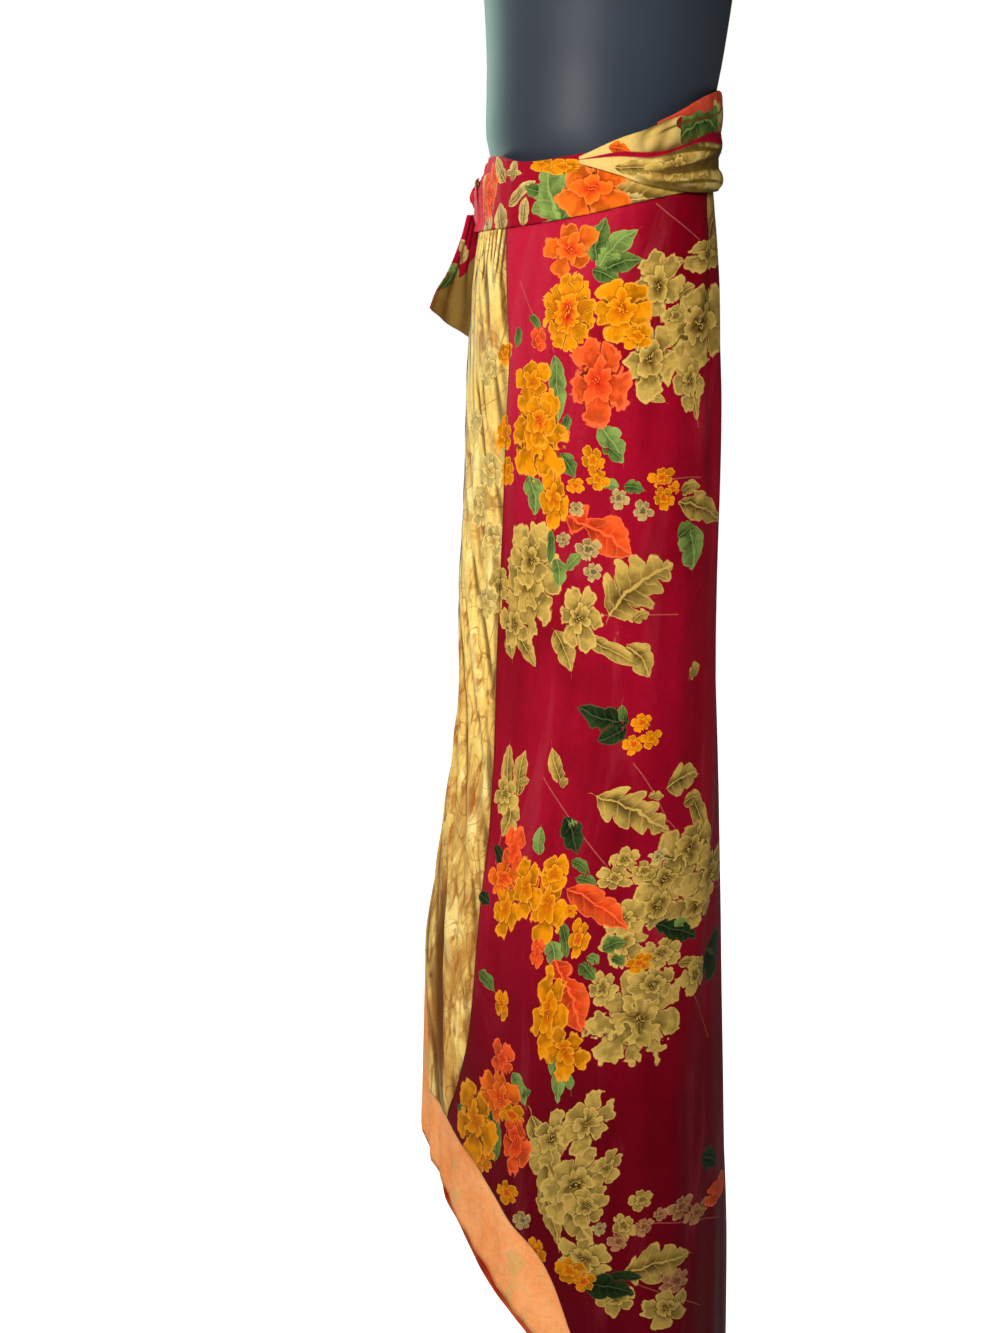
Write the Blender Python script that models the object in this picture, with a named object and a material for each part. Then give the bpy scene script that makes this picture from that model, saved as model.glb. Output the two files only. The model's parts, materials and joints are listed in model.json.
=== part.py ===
"""Wrap skirt of two layers of silk on a limbless display torso with a pole and a round base.

Metres, +Z up, origin on the floor under the middle of the form. The wearer would face -Y, so the wearer's left is +X.
The skirt is one spiral: it starts at the free front edge, goes round the left side, the back and the right side, and
ends underneath as the underlap. `turn` is the angle in degrees from the free front edge along that spiral.
"""
import math
from collections import namedtuple

import bmesh
import bpy
from mathutils import Vector

# driving dimensions
WAIST_Z = 1.100                # top edge of the band at the wearer's side
CLOTH = 0.0012                 # wall of one layer of silk
BAND_WALL = 0.0018             # folded band
LAYER_PITCH = 0.0018           # outer face of the outer layer to outer face of the inner one
TURN_DROP = 0.0048             # how far the spiral moves in over one whole turn
BAND_TURN_DROP = 0.0030
SEAM_GAP = 0.0003
SEAM_TURN = 0.10               # half of a sewn seam's gap, in degrees of turn
STEP_TURN = 6.0                # width of one column of facets, in degrees
FRONT_EDGE = 236.0             # where the spiral starts, in degrees from +X towards +Y
BORDER_TURN = 54.0
SKIRT_TURN = 412.0             # one whole turn and the underlap
PANEL_ROWS = 11
BAND_ROWS = 2
KNOT_AT = 206.0
KNOT_DROP = 0.036
FORM_BOTTOM = -0.24            # lower edge of the form, from the waist
POLE_RADIUS = 0.0125
POLE_SINK = 0.02               # length of the socket in the form's underside that the pole goes into
BASE_RADIUS = 0.155
BASE_HEIGHT = 0.012

Section = namedtuple("Section", "drop half_width half_depth forward")
SKIRT_SECTIONS = (
    Section(-0.04, 0.1130, 0.0775, 0.005),
    Section(0.00, 0.1135, 0.0775, 0.005),
    Section(0.05, 0.1200, 0.0795, 0.008),
    Section(0.11, 0.1290, 0.0811, 0.009),
    Section(0.18, 0.1345, 0.0825, 0.008),
    Section(0.30, 0.1345, 0.0830, 0.010),
    Section(0.37, 0.1360, 0.0850, 0.012),
    Section(0.47, 0.1420, 0.0902, 0.016),
    Section(0.59, 0.1520, 0.0970, 0.022),
    Section(0.71, 0.1600, 0.1017, 0.023),
    Section(0.80, 0.1660, 0.1033, 0.023),
    Section(0.90, 0.1700, 0.1030, 0.024),
    Section(1.08, 0.1730, 0.1023, 0.023),
)

Level = namedtuple("Level", "rise half_width half_depth forward")
FORM_LEVELS = (
    Level(FORM_BOTTOM, 0.1110, 0.0620, 0.008),
    Level(-0.232, 0.1180, 0.0690, 0.008),
    Level(-0.18, 0.1245, 0.0725, 0.008),
    Level(-0.11, 0.1190, 0.0712, 0.009),
    Level(-0.05, 0.1105, 0.0698, 0.008),
    Level(0.00, 0.1073, 0.0713, 0.005),
    Level(0.03, 0.1090, 0.0742, 0.002),
    Level(0.06, 0.1130, 0.0765, -0.001),
    Level(0.12, 0.1240, 0.0810, -0.003),
    Level(0.18, 0.1350, 0.0890, 0.001),
    Level(0.24, 0.1430, 0.0940, 0.004),
    Level(0.30, 0.1500, 0.0880, 0.000),
    Level(0.345, 0.1520, 0.0760, -0.005),
    Level(0.375, 0.1420, 0.0660, -0.010),
    Level(0.400, 0.1080, 0.0590, -0.013),
    Level(0.418, 0.0720, 0.0540, -0.014),
    Level(0.440, 0.0560, 0.0520, -0.014),
    Level(0.480, 0.0520, 0.0510, -0.010),
)

# upper and lower edge of the band below the waist; `at` is in degrees from +X towards +Y
Edge = namedtuple("Edge", "at top bottom")
BAND_EDGES = (
    Edge(-180, 0.0100, 0.0570),
    Edge(-150, 0.0110, 0.0630),
    Edge(-124, 0.0105, 0.0675),
    Edge(-100, 0.0115, 0.0648),
    Edge(-70, 0.0145, 0.0585),
    Edge(-40, 0.0075, 0.0494),
    Edge(-10, -0.0020, 0.0386),
    Edge(20, -0.0090, 0.0330),
    Edge(50, -0.0120, 0.0335),
    Edge(90, -0.0110, 0.0360),
    Edge(135, -0.0030, 0.0430),
    Edge(180, 0.0100, 0.0570),
)

# drops are measured from the height of the band's top at the side
Hem = namedtuple("Hem", "turn outer_drop inner_drop")
HEM = (
    Hem(0, 0.737, 0.772),
    Hem(27, 0.718, 0.778),
    Hem(41, 0.734, 0.800),
    Hem(54, 0.752, 0.822),
    Hem(66, 0.777, 0.846),
    Hem(79, 0.803, 0.868),
    Hem(90, 0.860, 0.901),
    Hem(100, 0.914, 0.960),
    Hem(115, 0.955, 1.016),
    Hem(135, 0.976, 1.040),
    Hem(160, 0.980, 1.045),
    Hem(262, 0.980, 1.045),
    Hem(285, 0.935, 1.000),
    Hem(304, 0.886, 0.948),
    Hem(317, 0.845, 0.905),
    Hem(330, 0.800, 0.855),
    Hem(345, 0.735, 0.775),
    Hem(361, 0.690, 0.745),
    Hem(412, 0.680, 0.735),
)

# a flute swells out of the section by `out` at the hem, and starts at `start` below the waist
Flute = namedtuple("Flute", "turn width out start")
FLUTES = (
    Flute(16, 15, 0.0060, 0.30),
    Flute(70, 22, 0.0040, 0.55),
    Flute(126, 24, 0.0050, 0.50),
    Flute(178, 22, 0.0070, 0.35),
    Flute(212, 17, 0.0090, 0.30),
    Flute(248, 21, 0.0100, 0.28),
    Flute(288, 22, 0.0080, 0.32),
    Flute(328, 20, 0.0070, 0.35),
)

# straps wound over the band: their upper and lower edge below the waist
TIE_WRAP = (
    Edge(-42, 0.0085, 0.0125),
    Edge(-25, -0.0020, 0.0135),
    Edge(-10, -0.0095, 0.0190),
    Edge(10, -0.0224, 0.0220),
    Edge(30, -0.0320, 0.0245),
    Edge(57, -0.0340, 0.0260),
    Edge(90, -0.0320, 0.0280),
    Edge(135, -0.0180, 0.0360),
    Edge(174, 0.0040, 0.0500),
    Edge(195, 0.0200, 0.0450),
)
TIE_FOLD = (
    Edge(4, -0.0190, -0.0145),
    Edge(14, -0.0265, -0.0145),
    Edge(26, -0.0325, -0.0140),
    Edge(40, -0.0350, -0.0130),
    Edge(54, -0.0355, -0.0125),
)
TIE_SHORT = (
    Edge(217, 0.0260, 0.0470),
    Edge(224, 0.0190, 0.0560),
    Edge(235, 0.0125, 0.0640),
)

# a loose end: `out` is the distance from the skirt, `slant` turns its width away from the skirt, and `cut` is how much
# further its inner edge reaches down than its outer one
Tail = namedtuple("Tail", "at drop out half_width slant cut")
TIE_END_FRONT = (
    Tail(212.0, 0.0575, 0.0100, 0.009, 20, 0),
    Tail(213.5, 0.0720, 0.0120, 0.013, 24, 0),
    Tail(215.0, 0.0900, 0.0145, 0.018, 30, 0),
    Tail(216.0, 0.1100, 0.0165, 0.021, 32, 0),
    Tail(216.0, 0.1360, 0.0165, 0.023, 30, 0.027),
)
TIE_END_BACK = (
    Tail(200.0, 0.0575, 0.0090, 0.009, 0, 0),
    Tail(194.0, 0.0750, 0.0100, 0.014, -6, 0),
    Tail(189.5, 0.1000, 0.0100, 0.019, -10, 0),
    Tail(187.5, 0.1300, 0.0090, 0.022, -12, -0.020),
)


def between(table, where, key):
    """Smooth values of a table's other columns at one value of its first column."""
    names = table[0]._fields
    rows = list(table)
    where = min(max(where, rows[0][0]), rows[-1][0])
    index = max(i for i in range(len(rows) - 1) if rows[i][0] <= where or i == 0)
    low, high = rows[index], rows[index + 1]
    before = rows[max(index - 1, 0)]
    after = rows[min(index + 2, len(rows) - 1)]
    span = high[0] - low[0]
    part = (where - low[0]) / span
    column = names.index(key)
    slope_low = (high[column] - before[column]) / max(high[0] - before[0], 1e-9)
    slope_high = (after[column] - low[column]) / max(after[0] - low[0], 1e-9)
    square, cube = part * part, part * part * part
    return ((2 * cube - 3 * square + 1) * low[column] + (cube - 2 * square + part) * span * slope_low
            + (3 * square - 2 * cube) * high[column] + (cube - square) * span * slope_high)


def flute_out(turn, drop):
    """How far the cloth swells out at one place; the same for all layers there."""
    total = 0.0
    for flute in FLUTES:
        away = abs((turn - flute.turn + 180) % 360 - 180) / flute.width
        if away < 1 and drop > flute.start:
            grown = min((drop - flute.start) / (0.95 - flute.start), 1.1)
            total += flute.out * grown * math.cos(away * math.pi / 2) ** 2
    return total


def around(at, drop, offset):
    """A point of the skirt's form: at an angle, a drop below the waist, and a distance out of the section."""
    angle = math.radians(at)
    half_width = between(SKIRT_SECTIONS, drop, "half_width")
    half_depth = between(SKIRT_SECTIONS, drop, "half_depth")
    forward = between(SKIRT_SECTIONS, drop, "forward")
    out = Vector((math.cos(angle) / half_width, math.sin(angle) / half_depth, 0)).normalized()
    middle = Vector((half_width * math.cos(angle), half_depth * math.sin(angle) - forward, WAIST_Z - drop))
    return middle + out * (offset + flute_out(at - FRONT_EDGE, drop)), out


def band_edge(at, key):
    return between(BAND_EDGES, (at + 180) % 360 - 180, key)


def gathered(turn, drop):
    """The border is drawn together near the waist, so the columns there crowd towards the front edge."""
    place = turn % 360
    if place < BORDER_TURN:
        pull = place / BORDER_TURN
    elif place < 2 * BORDER_TURN:
        pull = 2 - place / BORDER_TURN
    else:
        pull = 0
    return turn - 12 * pull * min(max(1 - (drop - 0.05) / 0.2, 0), 1)


def turn_steps(first, last):
    """Columns on the shared grid, so that the facets of all layers lie over each other."""
    steps = [first]
    column = math.floor(first / STEP_TURN + 1e-6) + 1
    while column * STEP_TURN < last - 0.5:
        steps.append(column * STEP_TURN)
        column += 1
    steps.append(last)
    return steps


def material(name, colour, roughness, metallic=0.0):
    made = bpy.data.materials.new(name)
    made.use_nodes = True
    shader = made.node_tree.nodes["Principled BSDF"]
    shader.inputs["Base Color"].default_value = (*colour, 1)
    shader.inputs["Roughness"].default_value = roughness
    shader.inputs["Metallic"].default_value = metallic
    return made


def add_object(name, shape, finish):
    bmesh.ops.recalc_face_normals(shape, faces=shape.faces[:])
    if shape.calc_volume(signed=True) < 0:
        bmesh.ops.reverse_faces(shape, faces=shape.faces[:])
    mesh = bpy.data.meshes.new(name)
    shape.to_mesh(mesh)
    shape.free()
    mesh.shade_smooth()
    mesh.set_sharp_from_angle(angle=math.radians(40))
    mesh.materials.append(finish)
    placed = bpy.data.objects.new(name, mesh)
    bpy.context.collection.objects.link(placed)
    return placed


def add_wall(name, outside, inside, finish):
    """A closed wall between two grids of points, each a list of columns."""
    shape = bmesh.new()
    faces = [[[shape.verts.new(point) for point in column] for column in grid] for grid in (outside, inside)]
    columns, rows = len(outside), len(outside[0])
    for grid in faces:
        for i in range(columns - 1):
            for j in range(rows - 1):
                shape.faces.new((grid[i][j], grid[i + 1][j], grid[i + 1][j + 1], grid[i][j + 1]))
    outer, inner = faces
    for i in range(columns - 1):
        for j in (0, rows - 1):
            shape.faces.new((outer[i][j], outer[i + 1][j], inner[i + 1][j], inner[i][j]))
    for j in range(rows - 1):
        for i in (0, columns - 1):
            shape.faces.new((outer[i][j], outer[i][j + 1], inner[i][j + 1], inner[i][j]))
    return add_object(name, shape, finish)


def panel_drops(turn, layer):
    """Heights of one column: the rows of the outer layer, and for the inner layer one more row below them."""
    top = band_edge(FRONT_EDGE + gathered(turn, 0.0), "bottom") + SEAM_GAP
    hem = between(HEM, turn, "outer_drop")
    drops = [top + (hem - top) * row / PANEL_ROWS for row in range(PANEL_ROWS + 1)]
    if layer == "inner":
        drops.append(between(HEM, turn, "inner_drop"))
    return drops


def add_panel(name, first, last, layer, finish):
    start_offset = -LAYER_PITCH if layer == "inner" else 0.0
    outside, inside = [], []
    for turn in turn_steps(first, last):
        offset = start_offset - TURN_DROP * turn / 360
        drops = panel_drops(turn, layer)
        places = [(FRONT_EDGE + gathered(turn, drop), drop) for drop in drops]
        outside.append([around(at, drop, offset)[0] for at, drop in places])
        inside.append([around(at, drop, offset - CLOTH)[0] for at, drop in places])
    return add_wall(name, outside, inside, finish)


def add_waistband(finish):
    outside, inside = [], []
    for turn in turn_steps(0.0, SKIRT_TURN):
        at = FRONT_EDGE + turn
        offset = -BAND_TURN_DROP * turn / 360
        top, bottom = band_edge(at, "top"), band_edge(at, "bottom")
        drops = [top + (bottom - top) * row / BAND_ROWS for row in range(BAND_ROWS + 1)]
        outside.append([around(at, drop, offset)[0] for drop in drops])
        inside.append([around(at, drop, offset - BAND_WALL)[0] for drop in drops])
    return add_wall(name="waistband", outside=outside, inside=inside, finish=finish)


def add_strap(name, table, gap, wall, rows, finish):
    """A strap wound over the band, `gap` clear of what it lies on."""
    outside, inside = [], []
    first, last = table[0].at, table[-1].at
    columns = math.ceil((last - first) / STEP_TURN)
    for column in range(columns + 1):
        at = first + (last - first) * column / columns
        bottom, top = between(table, at, "bottom"), between(table, at, "top")
        drops = [top + (bottom - top) * row / rows for row in range(rows + 1)]
        outside.append([around(at, drop, gap + wall)[0] for drop in drops])
        inside.append([around(at, drop, gap)[0] for drop in drops])
    return add_wall(name, outside, inside, finish)


def add_tail(name, table, wall, finish):
    """A loose end of a tie: a ribbon that hangs away from the skirt."""
    outside, inside = [], []
    for side in (-1.0, -0.33, 0.33, 1.0):
        outer_column, inner_column = [], []
        for row in table:
            middle, out = around(row.at, row.drop - side * row.cut / 2, row.out)
            along = Vector((-out.y, out.x, 0))
            slant = math.radians(row.slant)
            across = along * math.cos(slant) + out * math.sin(slant)
            face = out * math.cos(slant) - along * math.sin(slant)
            cupped = face * (0.25 * row.half_width * (1 - side * side))
            point = middle + across * (side * row.half_width) + cupped
            outer_column.append(point + face * (wall / 2))
            inner_column.append(point - face * (wall / 2))
        outside.append(outer_column)
        inside.append(inner_column)
    return add_wall(name, outside, inside, finish)


def add_knot(finish):
    """The knot sits on the band between the long and the short tie."""
    middle, out = around(KNOT_AT, KNOT_DROP, 0.0125)
    along = Vector((-out.y, out.x, 0))
    shape = bmesh.new()
    bmesh.ops.create_uvsphere(shape, u_segments=16, v_segments=10, radius=1.0)
    for vertex in shape.verts:
        x, y, z = vertex.co
        pinched = 1 - 0.16 * math.cos(3 * math.atan2(y, x)) * (1 - z * z)
        vertex.co = middle + along * (x * 0.0150 * pinched) + out * (y * 0.0115) + Vector((0, 0, z * 0.0185))
    return add_object("knot", shape, finish)


def add_turned(name, sections, segments, finish):
    """A closed body through level oval sections: (height, half width, half depth, middle y)."""
    shape = bmesh.new()
    rings = []
    for height, half_width, half_depth, middle in sections:
        ring = []
        for segment in range(segments):
            angle = math.tau * segment / segments
            ring.append(shape.verts.new((half_width * math.cos(angle), middle + half_depth * math.sin(angle), height)))
        rings.append(ring)
    for low, high in zip(rings, rings[1:]):
        for i in range(segments):
            j = (i + 1) % segments
            shape.faces.new((low[i], low[j], high[j], high[i]))
    shape.faces.new(rings[0][::-1])
    shape.faces.new(rings[-1])
    return add_object(name, shape, finish)


def add_torso(finish):
    """A smooth closed form; the pole goes into a round socket in its underside."""
    sections = [(WAIST_Z + level.rise, level.half_width, level.half_depth, -level.forward) for level in FORM_LEVELS]
    torso = add_turned("display_torso", sections, 44, finish)
    low = WAIST_Z + FORM_BOTTOM
    mouth = POLE_RADIUS + SEAM_GAP
    middle = -FORM_LEVELS[0].forward
    cutter = add_turned("socket_cutter", [(low - 0.01, mouth, mouth, middle),
                                          (low + POLE_SINK, mouth, mouth, middle)], 24, finish)
    cutter.hide_render = True
    cutter.display_type = "WIRE"
    socket = torso.modifiers.new("socket", "BOOLEAN")
    socket.operation = "DIFFERENCE"
    socket.object = cutter
    return torso


def add_stand(finish_pole, finish_base):
    middle = -FORM_LEVELS[0].forward
    pole_top = WAIST_Z + FORM_BOTTOM + POLE_SINK - SEAM_GAP
    add_turned("stand_pole", [(BASE_HEIGHT + SEAM_GAP, POLE_RADIUS, POLE_RADIUS, middle),
                              (pole_top, POLE_RADIUS, POLE_RADIUS, middle)], 24, finish_pole)
    edge = 0.002
    add_turned("stand_base", [(0.0, BASE_RADIUS, BASE_RADIUS, middle),
                              (BASE_HEIGHT - edge, BASE_RADIUS, BASE_RADIUS, middle),
                              (BASE_HEIGHT, BASE_RADIUS - edge, BASE_RADIUS - edge, middle)], 48, finish_base)
    neck = FORM_LEVELS[-1]
    bottom = WAIST_Z + neck.rise + SEAM_GAP
    lip = 0.003
    add_turned("neck_cap", [(bottom, neck.half_width + lip, neck.half_depth + lip, -neck.forward),
                            (bottom + 2 * lip, neck.half_width + lip, neck.half_depth + lip, -neck.forward),
                            (bottom + 3 * lip, neck.half_width, neck.half_depth, -neck.forward)], 36, finish_pole)


def build():
    for old in list(bpy.data.objects):
        bpy.data.objects.remove(old, do_unlink=True)
    print_silk = material("printed crimson silk", (0.35, 0.01, 0.03), 0.42)
    gold_silk = material("gold border silk", (0.62, 0.42, 0.10), 0.38)
    peach_silk = material("orange peach silk", (0.85, 0.33, 0.12), 0.45)
    band_silk = material("printed band silk", (0.45, 0.03, 0.04), 0.45)
    tie_silk = material("printed tie silk", (0.50, 0.34, 0.10), 0.42)
    knot_silk = material("knot silk", (0.42, 0.05, 0.04), 0.45)
    tail_silk = material("tail silk", (0.46, 0.30, 0.07), 0.42)
    fold_silk = material("orange tie fold", (0.80, 0.14, 0.04), 0.45)
    form_gloss = material("dark form gloss", (0.012, 0.018, 0.026), 0.25)
    pole_steel = material("brushed steel", (0.55, 0.55, 0.56), 0.3, 1.0)
    base_steel = material("black painted steel", (0.02, 0.02, 0.022), 0.4, 0.2)

    add_panel("outer_panel", BORDER_TURN + SEAM_TURN, SKIRT_TURN, "outer", print_silk)
    add_panel("front_border", 0.0, BORDER_TURN - SEAM_TURN, "outer", gold_silk)
    add_panel("inner_panel", 0.0, SKIRT_TURN, "inner", peach_silk)
    add_waistband(band_silk)
    add_strap("tie_wrap", TIE_WRAP, 0.0006, CLOTH, 3, tie_silk)
    add_strap("tie_fold", TIE_FOLD, 0.0022, 0.0024, 2, fold_silk)
    add_strap("tie_short", TIE_SHORT, 0.0006, CLOTH, 2, band_silk.copy())
    add_knot(knot_silk)
    add_tail("tie_end_front", TIE_END_FRONT, 0.0024, tail_silk)
    add_tail("tie_end_back", TIE_END_BACK, 0.0024, tail_silk.copy())
    add_torso(form_gloss)
    add_stand(pole_steel, base_steel)


build()
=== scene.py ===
import bpy
import json
import math
import numpy as np
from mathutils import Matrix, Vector

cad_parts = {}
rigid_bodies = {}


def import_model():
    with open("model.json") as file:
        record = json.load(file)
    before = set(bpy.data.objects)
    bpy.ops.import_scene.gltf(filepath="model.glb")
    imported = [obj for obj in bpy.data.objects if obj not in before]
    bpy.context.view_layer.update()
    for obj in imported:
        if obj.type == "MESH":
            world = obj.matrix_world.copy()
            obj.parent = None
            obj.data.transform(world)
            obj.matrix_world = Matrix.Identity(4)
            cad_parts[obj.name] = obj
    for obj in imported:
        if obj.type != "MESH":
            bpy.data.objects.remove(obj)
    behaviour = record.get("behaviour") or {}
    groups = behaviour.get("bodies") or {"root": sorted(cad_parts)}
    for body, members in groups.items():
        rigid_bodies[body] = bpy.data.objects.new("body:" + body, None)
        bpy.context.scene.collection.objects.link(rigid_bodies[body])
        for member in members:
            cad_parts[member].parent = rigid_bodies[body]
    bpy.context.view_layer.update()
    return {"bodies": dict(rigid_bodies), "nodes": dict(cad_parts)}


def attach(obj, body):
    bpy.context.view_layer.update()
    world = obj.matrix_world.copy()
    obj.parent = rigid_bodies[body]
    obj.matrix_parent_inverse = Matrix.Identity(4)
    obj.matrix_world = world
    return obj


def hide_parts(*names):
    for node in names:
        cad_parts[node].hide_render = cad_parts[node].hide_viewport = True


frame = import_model()
body = next(iter(frame["bodies"]))
bpy.ops.object.select_all(action="DESELECT")
print("frame loaded, body", body)


# ---- the form that all the cloth hangs on ----
skirtForm = {
    "waistZ": 1.100,
    "frontEdge": 236.0,          # where the free front edge lies, degrees from +X towards +Y
    "layerPitch": 0.0018,        # outer layer to inner layer
    "turnDrop": 0.0048,          # how far the spiral moves in over a whole turn
    "bandTurnDrop": 0.0030,
    "skirtTurn": 412.0,          # one turn and the underlap
    "borderTurn": 54.0,
    "seamDrop": 0.06,            # where the panels are sewn to the band
    "seamGap": 0.0004,
    # drop below the waist, half width, half depth, forward
    "sections": (
        (-0.04, 0.1130, 0.0775, 0.005),
        (0.00, 0.1135, 0.0775, 0.005),
        (0.05, 0.1200, 0.0795, 0.008),
        (0.11, 0.1290, 0.0811, 0.009),
        (0.18, 0.1345, 0.0825, 0.008),
        (0.30, 0.1345, 0.0830, 0.010),
        (0.37, 0.1360, 0.0850, 0.012),
        (0.47, 0.1420, 0.0902, 0.016),
        (0.59, 0.1520, 0.0970, 0.022),
        (0.71, 0.1600, 0.1017, 0.023),
        (0.80, 0.1660, 0.1033, 0.023),
        (0.90, 0.1700, 0.1030, 0.024),
        (1.08, 0.1730, 0.1023, 0.023)),
    # turn from the front edge, lower edge of the outer layer, of the inner layer
    "hem": (
        (0, 0.737, 0.738), (12, 0.722, 0.742), (20, 0.716, 0.764), (27, 0.718, 0.7775), (34, 0.725, 0.789),
        (41, 0.734, 0.803), (54, 0.752, 0.824), (66, 0.777, 0.846),
        (79, 0.803, 0.868), (90, 0.860, 0.901), (100, 0.914, 0.960), (115, 0.955, 1.016), (135, 0.976, 1.040),
        (160, 0.980, 1.045), (262, 0.980, 1.045), (285, 0.935, 0.994), (304, 0.886, 0.938),
        (317, 0.845, 0.892), (330, 0.795, 0.840), (345, 0.725, 0.762), (361, 0.685, 0.738),
        (412, 0.675, 0.728)),
    # angle from +X, upper edge and lower edge of the band
    "band": (
        (-180, 0.0100, 0.0570), (-150, 0.0160, 0.0630), (-124, 0.0360, 0.0675), (-113, 0.0300, 0.0668),
        (-104, 0.0165, 0.0655), (-96, 0.0118, 0.0642),
        (-70, 0.0145, 0.0585), (-40, 0.0075, 0.0494), (-10, -0.0020, 0.0386), (20, -0.0090, 0.0330),
        (50, -0.0120, 0.0335), (90, -0.0110, 0.0360), (135, -0.0030, 0.0430), (180, 0.0100, 0.0570)),
    # drop, turn of the seam between border and print
    "seam": (
        (0.030, 44.5), (0.063, 45.0), (0.111, 47.0), (0.146, 48.3), (0.190, 46.6), (0.253, 45.6), (0.330, 45.0),
        (0.370, 45.4), (0.436, 47.6), (0.494, 49.2), (0.540, 48.8), (0.600, 48.5), (0.631, 47.8),
        (0.663, 45.4), (0.696, 40.5), (0.730, 34.5), (0.800, 30.0)),
    # drop, how far the cloth is drawn in beside the free front edge
    "tuck": (
        (0.000, 0.0030), (0.010, 0.0045), (0.022, 0.0040), (0.035, 0.0045), (0.050, 0.0075), (0.060, 0.0085),
        (0.110, 0.0045), (0.180, 0.0010), (0.250, 0.0000), (0.325, -0.0015), (0.357, 0.0005), (0.405, 0.0050),
        (0.455, 0.0066), (0.487, 0.0040), (0.549, 0.0028), (0.594, -0.0014), (0.615, -0.0024), (0.640, -0.0018),
        (0.700, -0.0006), (0.760, 0.0000), (0.900, 0.0000)),
    # drop, turn at which the border's free edge hangs: it swings back low down and shows the inner layer
    "swing": (
        (0.030, 2.0), (0.100, 6.0), (0.150, 9.0), (0.330, 9.0), (0.380, 4.0), (0.500, 2.0), (0.555, 6.0),
        (0.600, 14.0), (0.640, 18.5), (0.700, 22.5), (0.800, 23.0)),
    # big soft flutes: turn, half width in degrees, how far out at the hem, where they start
    "flutes": (
        (16, 15, 0.0060, 0.30), (70, 22, 0.0040, 0.55), (126, 24, 0.0050, 0.50), (178, 22, 0.0070, 0.35),
        (212, 17, 0.0090, 0.30), (248, 21, 0.0100, 0.28), (288, 22, 0.0080, 0.32), (328, 20, 0.0070, 0.35)),
}


def tableColumn(rows, where, column):
    # smooth values of one column of a table, read at any places of its first column
    knots = np.array([row[0] for row in rows], float)
    values = np.array([row[column] for row in rows], float)
    where = np.clip(np.asarray(where, float), knots[0], knots[-1])
    low = np.clip(np.searchsorted(knots, where, side="right") - 1, 0, len(knots) - 2)
    before = np.maximum(low - 1, 0)
    after = np.minimum(low + 2, len(knots) - 1)
    span = knots[low + 1] - knots[low]
    part = (where - knots[low]) / span
    slopeLow = (values[low + 1] - values[before]) / (knots[low + 1] - knots[before])
    slopeHigh = (values[after] - values[low]) / (knots[after] - knots[low])
    square, cube = part ** 2, part ** 3
    return ((2 * cube - 3 * square + 1) * values[low] + (cube - 2 * square + part) * span * slopeLow
            + (3 * square - 2 * cube) * values[low + 1] + (cube - square) * span * slopeHigh)


def bandEdge(at, column):
    return tableColumn(skirtForm["band"], (np.asarray(at, float) + 180) % 360 - 180, column)


def fadeOut(turn, start, end):
    return np.clip((end - turn) / (end - start), 0, 1)


def underBand(turns):
    return bandEdge(skirtForm["frontEdge"] + turns, 2) + skirtForm["seamGap"]


def smoothStep(low, high, value):
    part = np.clip((value - low) / (high - low), 0, 1)
    return part * part * (3 - 2 * part)


def fluteOut(turn, drop):
    total = np.zeros(np.broadcast(turn, drop).shape)
    for middle, width, out, start in skirtForm["flutes"]:
        away = np.abs((turn - middle + 180) % 360 - 180) / width
        grown = np.clip((drop - start) / (0.95 - start), 0, 1.1)
        total += np.where(away < 1, out * grown * np.cos(np.minimum(away, 1) * math.pi / 2) ** 2, 0)
    return total


def tuckIn(turn, drop):
    beside = (turn - 8 + 180) % 360 - 180
    return tableColumn(skirtForm["tuck"], drop, 1) * np.exp(-(beside / 24) ** 2)


def formPoint(at, drop, offset):
    # points and outward directions at angles, drops below the waist, and distances out of the section
    angle = np.radians(at)
    halfWidth, halfDepth, forward = (tableColumn(skirtForm["sections"], drop, column) for column in (1, 2, 3))
    outX, outY = np.cos(angle) / halfWidth, np.sin(angle) / halfDepth
    length = np.hypot(outX, outY)
    outX, outY = outX / length, outY / length
    turn = at - skirtForm["frontEdge"]
    far = offset + fluteOut(turn, drop) - tuckIn(turn, drop)
    x = halfWidth * np.cos(angle) + outX * far
    y = halfDepth * np.sin(angle) - forward + outY * far
    points = np.stack([x, y, skirtForm["waistZ"] - drop + 0 * x], -1)
    return points, np.stack([outX, outY, 0 * outX], -1)


def shownTurn(turn, drop):
    # where a column of the outer layer or the border hangs at each drop, so that both meet on the seam
    width = skirtForm["borderTurn"]
    seam = tableColumn(skirtForm["seam"], drop, 1)
    swing = tableColumn(skirtForm["swing"], drop, 1)
    return np.where(turn < width, swing + turn * (seam - swing) / width,
                    turn - (width - seam) * np.clip(2 - turn / width, 0, 1))


def hemDrops(turns, column, shown=True):
    # lower edge of each column, followed along the seam's slant
    low = tableColumn(skirtForm["hem"], turns, column)
    for _ in range(12 if shown else 0):
        low = 0.5 * low + 0.5 * tableColumn(skirtForm["hem"], shownTurn(turns, low), column)
    return low


arcTurns = np.linspace(-12, 430, 443)
arcDrops = np.linspace(-0.04, 1.08, 57)
arcGrid = formPoint(skirtForm["frontEdge"] + arcTurns[:, None], arcDrops[None, :], 0.0)[0]
arcSteps = np.linalg.norm(np.diff(arcGrid, axis=0), axis=-1)
arcTable = np.vstack([np.zeros((1, len(arcDrops))), np.cumsum(arcSteps, axis=0)])
arcTable -= arcTable[np.searchsorted(arcTurns, 0)]


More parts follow.
